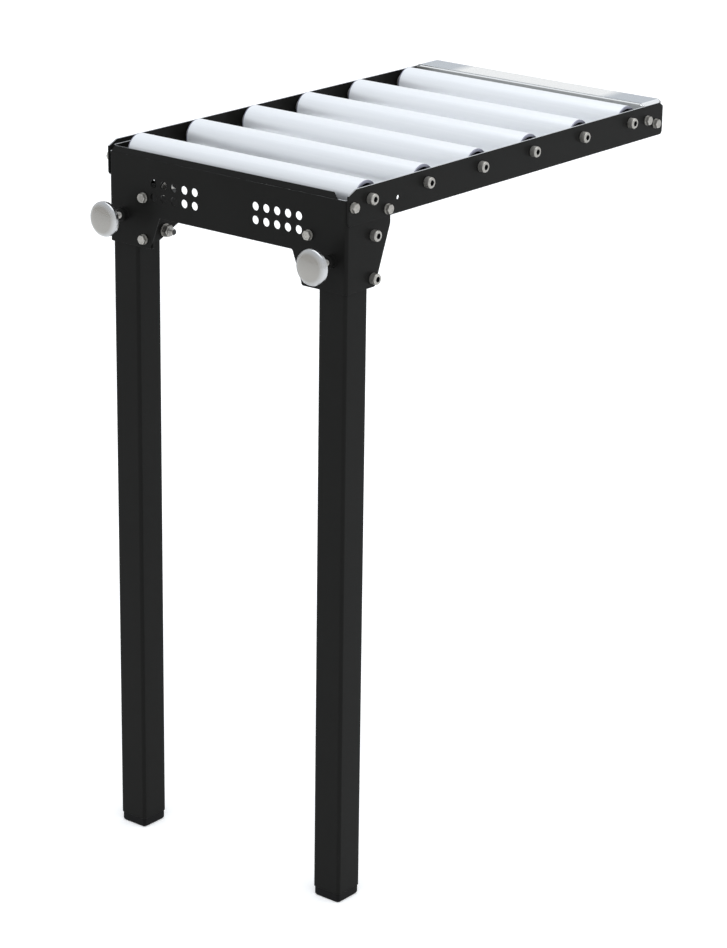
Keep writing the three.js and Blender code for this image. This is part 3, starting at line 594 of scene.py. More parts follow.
def bright_stainless(tree, spot):
    """Bright-rolled stainless sheet, folded: mirror-like, with soft rolling lines along its length.

    Its ends carry a painted blue-grey reflection on faces that look up, and its front lip and the end of its
    back fold a painted dark grey reflection."""
    # Rolling lines 90 mm long and 0.8 mm wide.
    rolled = node(tree, "Mapping", {"Vector": spot, "Scale": (per(90), per(0.8), per(0.8))})
    lines = node(tree, "TexNoise", {"Vector": rolled, "Scale": 1.0, "Detail": 3.0})
    place = node(tree, "SeparateXYZ", {"Vector": spot}).outputs
    facing = node(tree, "SeparateXYZ", {"Vector": node(tree, "NewGeometry").outputs["Normal"]}).outputs
    # The ends' painted reflection starts 105 mm from the middle and is full at 130 mm.
    reach = node(tree, "Math", {0: place["X"]}, operation="ABSOLUTE")
    shade_range = {"From Min": 105.0 * MM, "From Max": 130.0 * MM}
    ends = node(tree, "MapRange", {"Value": reach, **shade_range}, interpolation_type="SMOOTHSTEP")
    top = node(tree, "MapRange", {"Value": facing["Z"], "From Min": 0.95, "From Max": 0.995})
    shaded = node(tree, "Math", {0: ends, 1: top}, operation="MULTIPLY")
    tones = {"Factor": shaded, "A": colour("stainless"), "B": colour("stainless_shade")}
    tone = node(tree, "Mix", tones, data_type="RGBA")
    # Faces that look forward, the front lip, get the painted dark reflection
    forward = node(tree, "MapRange", {"Value": facing["Y"], "From Min": -0.93, "From Max": -0.99})
    # The back fold is the last 2.8 mm of the plate, and its painted reflection grey comes in over 1 mm.
    fold_start = span("bridge_plate")[1].y - 2.8
    fold_range = {"From Min": fold_start * MM, "From Max": (fold_start + 1.0) * MM}
    backward = node(tree, "MapRange", {"Value": place["Y"], **fold_range})
    folded = node(tree, "Math", {0: forward, 1: backward}, operation="MAXIMUM")
    tone = node(tree, "Mix", {"Factor": folded, "A": tone, "B": colour("stainless_dark")}, data_type="RGBA")
    polish = node(tree, "MapRange", {"Value": lines, "To Min": 0.16, "To Max": 0.3})
    worked = node(tree, "Math", {0: folded, 1: 0.5}, operation="MULTIPLY")
    gloss = node(tree, "Math", {0: polish, 1: worked}, operation="MAXIMUM")
    bump = node(tree, "Bump", {"Height": lines, "Strength": 0.05, "Distance": 0.05 * MM})
    metal = {"Base Color": tone, "Metallic": 1.0, "Roughness": gloss, "Normal": bump}
    return node(tree, "BsdfPrincipled", metal)


def turned_aluminium(tree, spot):
    """Aluminium turned on a lathe: fine rings round the axis, and a painted highlight that brightens the rim.
    """
    # Tool marks 0.5 mm apart; a ring texture repeats every 0.314 / scale.
    marks = {"Vector": spot, "Scale": 0.314 * per(0.5), "Distortion": 0.4}
    rings = node(tree, "TexWave", marks, wave_type="RINGS", rings_direction="X").outputs["Fac"]
    gloss = node(tree, "MapRange", {"Value": rings, "To Min": 0.22, "To Max": 0.3})
    bump = node(tree, "Bump", {"Height": rings, "Strength": 0.05, "Distance": 0.02 * MM})
    across = node(tree, "VectorMath", {0: spot, 1: (0.0, 1.0, 1.0)}, operation="MULTIPLY")
    radius = node(tree, "VectorMath", {0: across}, operation="LENGTH")
    # The painted highlight grows from 15 mm off the axis to the rim.
    rim_highlight = node(tree, "MapRange", {"Value": radius, "From Min": 15.0 * MM, "From Max": 20.5 * MM})
    tones = {"Factor": rim_highlight, "A": colour("aluminium"), "B": colour("aluminium_rim_highlight")}
    tone = node(tree, "Mix", tones, data_type="RGBA")
    metal = {"Base Color": tone, "Metallic": 1.0, "Roughness": gloss, "Normal": bump}
    return node(tree, "BsdfPrincipled", metal)


# What each finish is called, and the name of the frame's material slot that matches it
FINISHES = {
    powder_coat: ("Black powder coat", "powder_coat"),
    bright_zinc: ("Bright zinc plate", "bright_zinc"),
    # Painted shade in the sockets
    painted_socket_shade: ("Dark socket grease", "bright_zinc"),
    satin_tube: ("Satin plated tube", "roller_metal"),
    # Painted shade on the caps' rings
    painted_shade_ring: ("Passivated steel ring", "roller_cap"),
    roller_nylon: ("Black moulded nylon", "roller_cap"),
    foot_plastic: ("Black moulded polyethylene", "black_plastic"),
    bright_stainless: ("Bright stainless sheet", "stainless"),
    turned_aluminium: ("Turned aluminium", "turned_aluminium"),
    cut_brass: ("Cut brass", "brass"),
    nylon_insert: ("Pale moulded nylon", "bright_zinc"),
}


def finish(maker):
    """One material for each finish, made when it is first needed."""
    title = FINISHES[maker][0]
    made = bpy.data.materials.get(title)
    if made is None:
        made = bpy.data.materials.new(title)
        tree = cleared(made)
        spot = node(tree, "TexCoord").outputs["Object"]
        node(tree, "OutputMaterial", {"Surface": maker(tree, spot)})
    return made


# Fasteners shared by several pieces


def socket_head(seat):
    """Rings of a knurled socket head that starts at seat and ends in its six-sided socket."""
    top = seat + HEAD_HEIGHT
    return [
        disc(seat, HEAD_FACE),
        ring(seat + 0.5, knurled()),
        ring(top - 1.2, knurled()),
        disc(top - 0.9, HEAD_RADIUS - 0.25),
        disc(top - 0.25, HEAD_FACE),
        disc(top, HEAD_FACE - 0.5),
        ring(top, hexagon(SOCKET_FLATS + 0.4)),
        ring(top - 0.3, hexagon(SOCKET_FLATS)),
        ring(top - SOCKET_DEPTH, hexagon(SOCKET_FLATS)),
        disc(top - SOCKET_DEPTH - 1.2, 0),
    ]


def in_socket(seat):
    """The lining of a socket head, in painted shade: what lies inside the socket's mouth, beyond the head's
    seat.
    """

    def inside(spot):
        return abs(spot.x) > seat + 2.0 and math.hypot(spot.y, spot.z) < 0.6 * SOCKET_FLATS

    return painted_socket_shade, inside


def clinch_nut(name, at, facing):
    """A round nut pressed in the back of a sheet, round a bolt's hole."""
    bore, radius, height, edge = BOLT + 0.1, 5.5, 4.5, 0.4
    profile = [
        (0.0, bore),
        (0.0, radius),
        (height - edge, radius),
        (height, radius - edge),
        (height, bore + edge),
        (height - edge, bore),
    ]
    keep(name, turned(profile, loop=True), bright_zinc, at=at, facing=facing)


class OutfeedOperator:
    """What the operators share."""

    bl_options = {"REGISTER", "UNDO"}


class OUTFEED_OT_front_panel(OutfeedOperator, bpy.types.Operator):
    """Front panel, folded from one sheet, with its clamp collars and clinch nuts"""

    bl_idname = "outfeed.front_panel"
    bl_label = "Front panel"

    def execute(self, context):
        half, _back, top = span("front_panel")[1]
        bend, lip, lip_bend = size("panel_bend"), size("lip_run"), size("lip_bend")
        corner = half - bend
        fold_z = top - lip
        lip_end = half - size("lip_inset")
        lean = QUARTER / 2
        reach = lip_bend * math.tan(lean / 2)
        lip_start = fold_z - reach
        lip_edge = lip_start + lip_bend * lean + lip * math.sqrt(2) - reach
        lip_corners = [
            (lip_end, fold_z, 0.4),
            (lip_end - size("lip_slant"), lip_edge, 2.5),
            (-corner, lip_edge, 1.0),
            (-corner, fold_z, 0.0),
        ]

        def on_lip(spot):
            return -corner - WELD < spot.x < lip_end + WELD

        side = self.side(fold_z)
        body = blank(rounded(side + lip_corners + mirrored(side)), self.holes(), SHEET)
        fold(body, (0, 1, 0), lip_start, lip_bend, lean, on_lip)
        fold_ends(body, corner, bend)
        keep("front_panel_sheet", body, powder_coat, ["front_panel"], plane=FRONT_PLANE)
        for name, sign in SIDES:
            self.collar(name)
            for end in ENDS:
                bolt = centre(f"{name}_{end}_side_bolt")
                at = (sign * (half - SHEET), bolt.y, bolt.z)
                clinch_nut(f"{name}_{end}_clinch_nut", at, INWARD[name])
        return {"FINISHED"}

    def along_flange(self, y):
        return unrolled(span("front_panel")[1].x, size("panel_bend"), y)

    def lower_edge(self):
        return span("left_rail")[1].z - size("panel_depth")

    def ear_edge(self, reach):
        return span("right_leg_bracket")[1].x - size(reach)

    def side(self, fold_z):
        """Corners of the right ear and flange on the flat blank, from the ear's top to the lip."""
        low, high = span("front_panel")
        bend, clip = size("panel_bend"), size("flange_clip")
        foot_back = centre("right_upper_cross_bolt").y + size("flange_foot")
        shoulder = span("left_rail")[1].z - size("flange_shoulder")
        return [
            (self.ear_edge("ear_top_reach"), self.lower_edge(), 3.0),
            (self.ear_edge("ear_foot_reach"), low.z, 2.0),
            (self.along_flange(foot_back), low.z, 3.0),
            (self.along_flange(high.y), shoulder, 6.0),
            (self.along_flange(high.y), high.z, 2.0),
            (self.along_flange(bend + clip), high.z, 2.0),
            (self.along_flange(bend), high.z - clip, 1.0),
            (self.along_flange(bend), fold_z, 0.0),
        ]

    def in_face(self, bolt, radius):
        spot = centre(bolt)
        return circle(spot.x, spot.z, radius)

    def in_flange(self, bolt, radius, sign):
        spot = centre(bolt)
        return circle(sign * self.along_flange(spot.y), spot.z, radius)

    def holes(self):
        """Holes of the bolts, the clamp screws and the first axle, and the perforations."""
        axle_hole = size("axle_diameter") / 2 + 0.4
        holes = []
        for name, sign in SIDES:
            for level in LEVELS:
                holes.append(self.in_face(f"{name}_{level}_ear_bolt", BOLT_HOLE))
                holes.append(self.in_flange(f"{name}_{level}_cross_bolt", SCREW_HOLE, sign))
            for end in ENDS:
                holes.append(self.in_flange(f"{name}_{end}_side_bolt", BOLT_HOLE, sign))
            holes.append(self.in_face(f"{name}_clamp_knob", SCREW_HOLE))
            holes.append(self.in_flange("roller_1_axle", axle_hole, sign))
            holes += self.perforations(sign)
        return holes

    def perforations(self, sign):
        """A group of plain round holes on one side of the panel."""
        sizes = bpy.context.scene.outfeed_sizes
        columns, rows = sizes.hole_columns, sizes.hole_rows
        middle = self.ear_edge("ear_top_reach") - size("hole_inset")
        height = self.lower_edge() + size("hole_rise")
        pitch, radius = size("hole_pitch"), size("hole_diameter") / 2
        holes = []
        for column in range(columns):
            for row in range(rows):
                u = middle + (column - (columns - 1) / 2) * pitch
                v = height + (row - (rows - 1) / 2) * pitch
                holes.append(circle(sign * u, v, radius))
        return holes

    def collar(self, name):
        """Threaded collar welded to the panel's face round the clamp screw."""
        knob = centre(f"{name}_clamp_knob")
        bore, radius, height, edge = SCREW + 0.08, 7.5, 8.0, 0.5
        profile = [
            (0.0, bore),
            (0.0, radius + edge),
            (edge, radius + 0.2),
            (1.2, radius),
            (height - 1.0, radius),
            (height, radius - 0.9),
            (height, bore + edge),
            (height - edge, bore),
        ]
        body = turned(profile, loop=True)
        keep(f"{name}_clamp_collar", body, powder_coat, at=(knob.x, 0, knob.z), facing=FACING["front"])


class OUTFEED_OT_side_rails(OutfeedOperator, bpy.types.Operator):
    """Side rails, cut from flat plate"""

    bl_idname = "outfeed.side_rails"
    bl_label = "Side rails"

    def execute(self, context):
        for name, _sign in SIDES:
            low, high = span(f"{name}_rail")
            corner = size("rail_corner")
            outline = [
                (low.y, low.z, corner),
                (high.y, low.z, corner),
                (high.y, high.z - size("far_clip_drop"), 1.5),
                (high.y - size("far_clip_run"), high.z, 1.5),
                (low.y + size("near_clip_run"), high.z, 3.0),
                (low.y, high.z - size("near_clip_drop"), 1.5),
            ]
            holes = [self.around(f"roller_{i}_axle", SCREW_HOLE) for i in ROLLERS]
            for end in ENDS:
                holes.append(self.around(f"{name}_{end}_side_bolt", BOLT_HOLE))
                holes.append(self.around(f"{name}_{end}_end_bolt", BOLT_HOLE))
            spare = centre(f"{name}_rear_side_bolt").y + size("spare_back")
            holes.append(circle(spare, high.z - size("spare_drop"), size("spare_hole") / 2))
            body = blank(rounded(outline), holes, high.x - low.x)
            body.transform(Matrix.Translation((0, 0, low.x)))
            keep(f"{name}_rail_plate", body, powder_coat, [f"{name}_rail"], plane=RAIL_PLANE)
        return {"FINISHED"}

    def around(self, bolt, radius):
        spot = centre(bolt)
        return circle(spot.y, spot.z, radius)


class OUTFEED_OT_leg_brackets(OutfeedOperator, bpy.types.Operator):
    """Leg brackets, each folded from a sheet, with the clinch nuts of the ear bolts"""

    bl_idname = "outfeed.leg_brackets"
    bl_label = "Leg brackets"

    def execute(self, context):
        bend = size("bracket_bend")
        low, high = span("right_leg_bracket")
        front = low.y
        cross = centre("right_upper_cross_bolt")

        def along_side(y):
            return unrolled(high.x, bend, y - front)

        foot_margin, foot_rise = 9.0, 16.5
        outline = [
            (low.x, low.z, 2.0),
            (along_side(cross.y - foot_margin), low.z, 3.0),
            (along_side(high.y), low.z + foot_rise, 3.0),
            (along_side(high.y), high.z, 3.0),
            (low.x, high.z, 2.0),
        ]
        for name, sign in SIDES:
            holes = []
            for level in LEVELS:
                ear = centre(f"right_{level}_ear_bolt")
                bolt = centre(f"right_{level}_cross_bolt")
                holes.append(circle(ear.x, ear.z, BOLT_HOLE))
                holes.append(circle(along_side(bolt.y), bolt.z, SCREW_HOLE))
                clinch_nut(f"{name}_{level}_ear_nut", (sign * ear.x, front + SHEET, ear.z), FACING["back"])
            body = blank(rounded(outline), holes, SHEET)
            fold(body, (1, 0, 0), high.x - bend, bend)
            body.transform(Matrix.Translation((0, 0, front)))
            plane = Matrix.Diagonal((sign, 1, 1, 1)) @ FRONT_PLANE
            keep(f"{name}_bracket_sheet", body, powder_coat, [f"{name}_leg_bracket"], plane=plane)
        return {"FINISHED"}


class OUTFEED_OT_legs(OutfeedOperator, bpy.types.Operator):
    """Square legs with their plugged feet"""

    bl_idname = "outfeed.legs"
    bl_label = "Legs and feet"

    def execute(self, context):
        for name, _sign in SIDES:
            low, high = span(f"{name}_leg")
            foot_low, foot_high = span(f"{name}_foot")
            middle = (low + high) / 2
            at = (middle.x, middle.y, 0)
            width = high.x - low.x
            bore = width - 2 * size("leg_wall")
            tube = lofted(self.tube(width, bore, low.z, high.z), loop=True)
            plug = lofted(self.foot(foot_high.x - foot_low.x, bore, low.z, foot_high.z))
            body = f"{name}_leg_body"
            keep(f"{name}_leg_tube", tube, powder_coat, [f"{name}_leg"], body, at=at)
            keep(f"{name}_foot_plug", plug, foot_plastic, [f"{name}_foot"], body, at=at)
        return {"FINISHED"}

    def upright(self, levels):
        """Rounded squares from (height, width, corner) levels."""
        return [[Vector((u, v, z)) for u, v in square(width, corner)] for z, width, corner in levels]

    def tube(self, width, bore, bottom, top):
        corner = size("leg_corner")
        inner, edge = corner - size("leg_wall"), 0.4
        levels = [
            (bottom, bore, inner),
            (bottom, width - 2 * edge, corner),
            (bottom + edge, width, corner),
            (top - edge, width, corner),
            (top, width - 2 * edge, corner),
            (top, bore, inner),
        ]
        return self.upright(levels)

    def foot(self, width, bore, shoulder, top):
        """A pad with a rounded sole, and a plug that fits the tube's bore."""
        corner, inner = size("leg_corner"), 2.0
        fit, edge = 0.6, 0.4
        plug = bore - fit
        levels = [
            (0.0, width - 6.0, corner - 1.0),
            (0.25, width - 4.2, corner - 0.5),
            (0.9, width - 2.4, corner),
            (1.9, width - 0.9, corner),
            (3.2, width, corner),
            (shoulder - 0.5, width, corner),
            (shoulder, width - 2 * edge, corner),
            (shoulder, plug, inner),
            (top - 1.5, plug, inner),
            (top, plug - 2.5, inner),
        ]
        return self.upright(levels)


class OUTFEED_OT_rollers(OutfeedOperator, bpy.types.Operator):
    """Rollers: tubes, end caps and fixed axles with their screws"""

    bl_idname = "outfeed.rollers"
    bl_label = "Rollers"

    def execute(self, context):
        for number in ROLLERS:
            name = f"roller_{number}"
            low, high = span(f"{name}_tube")
            middle = (low + high) / 2
            end, radius = (high.x - low.x) / 2, (high.y - low.y) / 2
            self.tube(name, middle, end, radius)
            self.caps(name, middle, end, radius)
            self.axle(name, middle)
        return {"FINISHED"}

    def tube(self, name, middle, end, radius):
        bore = radius - size("roller_wall")
        edge, inner_edge = 0.4, 0.2
        half = [
            (end - edge, radius),
            (end, radius - edge),
            (end, bore + inner_edge),
            (end - inner_edge, bore),
        ]
        shell = turned([(-along, across) for along, across in reversed(half)] + half, loop=True)
        keep(f"{name}_shell", shell, satin_tube, [f"{name}_tube"], name, at=middle)

    def caps(self, name, middle, end, radius):
        """End caps: a plated ring in painted shade over the tube's end round a dark moulded recess and boss.
        """
        low, high = span(f"{name}_right_cap")
        inner, outer = low.x - middle.x, high.x - middle.x
        fit, gap, play = 0.05, 0.02, 0.06
        edge, bevel, fillet, boss_edge = 0.2, 0.4, 1.0, 0.5
        band_height = 1.5
        rim = (high.z - low.z) / 2
        seat = radius - size("roller_wall") - fit
        shoulder = end + fit
        back = shoulder - gap
        boss, bore = size("boss_diameter") / 2, size("axle_diameter") / 2 + play
        face = shoulder + band_height
        floor = face - size("cap_recess")
        well = rim - size("cap_ring")
        band = [
            (shoulder, well),
            (shoulder, rim - edge),
            (shoulder + edge, rim),
            (face - 3 * edge, rim),
            (face - edge, rim - edge),
            (face, rim - 3 * edge),
            (face, well + bevel),
            (face - bevel, well),
        ]
        core = [
            (inner, bore),
            (inner, seat),
            (back, seat),
            (back, well),
            (floor + fillet, well),
            (floor, well - fillet),
            (floor, boss + fillet + edge),
            (floor + fillet, boss),
            (outer - boss_edge, boss),
            (outer, boss - boss_edge),
            (outer, bore + bevel),
            (outer - bevel, bore),
        ]
        for side, _sign in SIDES:
            label = f"{name}_{side}_cap"
            facing = FACING[side]
            keep(f"{label}_core", turned(core, True), roller_nylon, [label], name, at=middle, facing=facing)
            keep(f"{label}_ring", turned(band, True), painted_shade_ring, (), name, at=middle, facing=facing)

    def axle(self, name, middle):
        """Axle with a screw in each end, and a shoulder that keeps the roller to the right."""
        low, high = span("right_rail")
        inside, outside = low.x, high.x
        shaft, shoulder = size("axle_diameter") / 2, size("boss_diameter") / 2
        edge, play = 0.5, 0.5
        half = discs([(inside - edge, shaft), (inside, shaft - edge), (inside, SCREW), (outside, SCREW)])
        half += socket_head(outside)
        other = [[Vector((-p.x, p.y, p.z)) for p in spots] for spots in reversed(half)]
        start = SHEET + play - span("front_panel")[1].x
        end = span(f"{name}_left_cap")[0].x - play
        collar = discs([(start, shaft), (start, shoulder), (end, shoulder), (end, shaft)])
        body = lofted(other + collar + half)
        at = (0, middle.y, middle.z)
        keep(f"{name}_axle_bar", body, bright_zinc, [f"{name}_axle"], at=at, lining=in_socket(outside))


class OUTFEED_OT_clamps(OutfeedOperator, bpy.types.Operator):
    """Clamp knobs with their screws, and the pads that they push"""

    bl_idname = "outfeed.clamps"
    bl_label = "Leg clamps"

    def execute(self, context):
        for name, _sign in SIDES:
            node_name = f"{name}_clamp_knob"
            low, high = span(node_name)
            middle = (low + high) / 2
            keep(
                f"{name}_knob_and_screw",
                turned(self.profile(-high.y, -low.y, (high.x - low.x) / 2)),
                turned_aluminium,
                [node_name],
                f"{name}_knob",
                at=(middle.x, 0, middle.z),
                facing=FACING["front"],
            )
            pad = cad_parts[f"{name}_pressure_pad"]
            pad.data.materials.clear()
            pad.data.materials.append(finish(cut_brass))
        return {"FINISHED"}

    def profile(self, tip, front, radius):
        """Points from the screw's tip to the middle of the knob's face."""
        neck = front - size("knob_reach")
        rim_back = neck + size("knob_back")
        rim_front = rim_back + size("knob_rim")
        dome = size("knob_dome")
        shank, hub = SCREW - 0.1, 7.0
        points = [
            (tip, 0),
            (tip, SCREW - 1.0),
            *thread(tip + 0.5, neck - 2.0, SCREW),
            (neck - 1.5, shank),
            (neck, shank),
            (neck, hub - 0.4),
            (neck + 0.4, hub),
            (neck + 3.6, hub + 0.2),
            (neck + 5.2, hub + 2.0),
            (rim_back - 1.2, radius - 4.2),
            (rim_back, radius - 0.8),
            (rim_back + 0.3, radius - 0.2),
            (rim_back + 0.8, radius),
        ]
        for step in range(DOME_STEPS + 1):
            turn = QUARTER * (1 - step / DOME_STEPS)
            points.append((rim_front + dome * math.cos(turn), radius * math.sin(turn)))
        return points


class OUTFEED_OT_bridge_plate(OutfeedOperator, bpy.types.Operator):
    """Bright bridge plate, folded from one sheet"""

    bl_idname = "outfeed.bridge_plate"
    bl_label = "Bridge plate"

    def execute(self, context):
        low, high = span("bridge_plate")
        far = high.y
        bend, sheet = size("plate_bend"), size("plate_sheet")
        end_bend = size("plate_end_bend")
        front = far - size("plate_depth")
        start = high.x - end_bend
        # Slits part the long folds from the end bends, and the top's corners end part of the way round those.
        slit, lip_inset, corner_share = 0.15, 1.4, 0.96
        lip_end = start - slit
        lip_width = high.x - lip_inset
        corner = start + end_bend * corner_share
        front_fold, back_fold = front + bend, far - bend
        front_turn, back_turn = front_fold - bend * QUARTER, back_fold + bend * QUARTER
        front_edge = front_turn - size("plate_front_lip") + bend
        back_edge = back_turn + size("plate_back_lip") - bend

        def down_tab(z):
            return unrolled(high.x, end_bend, high.z - z)

        def on_lip(spot):
            beside = abs(spot.x) < lip_width + slit and not front_turn + slit < spot.y < back_turn - slit
            return beside or abs(spot.x) < start - slit / 2

        def on_end(spot):
            return spot.z < sheet + slit

        shoulder = down_tab(span("end_crossmember")[1].z)
        tab_back = far - sheet - bend
        right = [
            (lip_width, front_edge, 1.0),
            (lip_width, front_turn - slit, 0.0),
            (lip_end, front_turn - slit, 0.0),
            (lip_end, front + slit, 0.0),
            (corner, front + slit, 0.0),
            (corner, front_fold + slit, 0.0),
            (shoulder, front_fold + slit, 1.0),
            (shoulder, low.y, 0.5),
            (down_tab(low.z), low.y, 3.0),
            (down_tab(low.z), tab_back, 3.0),
            (corner, tab_back, 0.0),
            (corner, far - slit, 0.0),
            (lip_end, far - slit, 0.0),
            (lip_end, back_turn + slit, 0.0),
            (lip_width, back_turn + slit, 0.0),
            (lip_width, back_edge, 1.0),
        ]
        holes = []
        for _name, sign in SIDES:
            for end in ENDS:
                bolt = centre(f"right_{end}_end_bolt")
                holes.append(circle(sign * down_tab(bolt.z), bolt.y, BOLT_HOLE))
        body = blank(rounded(right + mirrored(right)), holes, sheet)
        fold(body, (0, -1, 0), -front_fold, bend, where=on_lip)
        fold(body, (0, 1, 0), back_fold, bend, where=on_lip)
        fold_ends(body, start, end_bend, on_end)
        body.transform(Matrix.Translation((0, 0, -high.z)))
        keep("bridge_plate_sheet", body, bright_stainless, ["bridge_plate"], plane=TOP_PLANE)
        return {"FINISHED"}


class OUTFEED_OT_end_crossmember(OutfeedOperator, bpy.types.Operator):
    """End crossmember, folded from one sheet, with its clinch nuts"""

    bl_idname = "outfeed.end_crossmember"
    bl_label = "End crossmember"

    def execute(self, context):
        low, high = span("end_crossmember")
        bend, corner, machine_hole = size("panel_bend"), 4.0, 4.5
        half, back = high.x, high.y
        edge = unrolled(half, bend, back - low.y)
        right = [(edge, low.z, corner), (edge, high.z, corner)]
        middle = (low.z + high.z) / 2
        holes = [circle(sign * size("machine_holes"), middle, machine_hole) for _name, sign in SIDES]
        for name, sign in SIDES:
            for end in ENDS:
                bolt = centre(f"{name}_{end}_end_bolt")
                holes.append(circle(sign * unrolled(half, bend, back - bolt.y), bolt.z, BOLT_HOLE))
                at = (sign * (half - SHEET), bolt.y, bolt.z)
                clinch_nut(f"{name}_{end}_end_nut", at, INWARD[name])
        body = blank(rounded(right + mirrored(right)), holes, SHEET)
        fold_ends(body, half - bend, bend)
        body.transform(Matrix.Translation((0, 0, back)) @ Matrix.Diagonal((1, 1, -1, 1)))
        keep("end_crossmember_sheet", body, powder_coat, ["end_crossmember"], plane=FRONT_PLANE)
        return {"FINISHED"}


class OUTFEED_OT_fasteners(OutfeedOperator, bpy.types.Operator):
    """Cross bolts, lock nuts and six-sided bolts"""

    bl_idname = "outfeed.fasteners"
    bl_label = "Fasteners"

    def execute(self, context):
        panel = span("front_panel")[1].x
        rail = span("right_rail")[1].x
        bracket = span("right_leg_bracket")[1].x - SHEET
        for name, sign in SIDES:
            outward = FACING[name]
            for level in LEVELS:
                label = f"{name}_{level}"
                bolt = centre(f"{label}_cross_bolt")
                ear = centre(f"{label}_ear_bolt")
                self.cross_bolt(label, (sign * panel, bolt.y, bolt.z), outward)
                self.lock_nut(label, (sign * bracket, bolt.y, bolt.z), INWARD[name])
                self.hex_bolt(f"{label}_ear_bolt", (ear.x, 0, ear.z), FACING["front"])
            for end in ENDS:
                for place in ("side", "end"):
                    label = f"{name}_{end}_{place}_bolt"
                    bolt = centre(label)
                    self.hex_bolt(label, (sign * rail, bolt.y, bolt.z), outward)
        return {"FINISHED"}

    def cross_bolt(self, label, at, facing):
        """Socket-head bolt across the leg socket, threaded at its tip."""
        tip, thread_end = -60.0, -38.0
        profile = [
            (tip, 0),
            (tip, SCREW - 1.1),
            *thread(tip + 0.8, thread_end, SCREW),
            (thread_end + 0.5, SCREW),
            (0.0, SCREW),
        ]
        body = lofted(discs(profile) + socket_head(0.0))
        nodes = [f"{label}_cross_bolt"]
        keep(f"{label}_cross_screw", body, bright_zinc, nodes, at=at, facing=facing, lining=in_socket(0.0))

    def washer(self, radius):
        """Points of a washer's rim, from its seat to its top."""
        edge = 0.2
        return [(0.0, radius - edge), (edge, radius), (WASHER - edge, radius), (WASHER, radius - edge)]

    def lock_nut(self, label, at, facing):
        """Washer and lock nut, with the nut's nylon ring."""
        bore, flats, shoulder, groove = SCREW + 0.1, 13.0, 6.2, 4.6
        top = WASHER + 6.5
        seat = top + 1.0
        collar = [
            (top, shoulder),
            (top + 0.3, 5.5),
            (top + 1.2, 5.4),
            (top + 1.8, 4.9),
            (top + 1.8, groove),
            (seat, groove),
            (seat, bore),
        ]
        rings = [
            *discs([(0.0, bore), *self.washer(8.0), (WASHER, shoulder - 0.1)]),
            chamfered(WASHER, flats, shoulder, CHAMFER),
            chamfered(top, flats, shoulder, -CHAMFER),
            *discs(collar),
        ]
        nut = lofted(rings, loop=True)
        keep(f"{label}_nut", nut, bright_zinc, [f"{label}_lock_nut"], at=at, facing=facing)
        rim = seat + 0.7
        insert = turned([(seat, bore), (seat, groove), (rim, groove), (rim, bore)], loop=True)
        keep(f"{label}_nut_insert", insert, nylon_insert, at=at, facing=facing)

    def hex_bolt(self, name, at, facing):
        """Six-sided bolt with a dished head on its washer."""
        tip, flats = -10.0, 10.0
        seat = WASHER + 0.1
        top = seat + 3.9
        shoulder = 0.95 * flats / 2
        shank = [(tip, 0), (tip, BOLT - 0.7), (tip + 0.6, BOLT), (0.0, BOLT)]
        dish = [(top, shoulder), (top, shoulder - 0.8), (top - 0.5, shoulder - 1.3), (top - 0.6, 0)]
        rings = [
            *discs([*shank, *self.washer(6.0), (WASHER, flats / 2)]),
            ring(seat, hexagon(flats)),
            chamfered(top, flats, shoulder, -CHAMFER),
            *discs(dish),
        ]
        keep(f"{name}_head", lofted(rings), bright_zinc, [name], at=at, facing=facing)


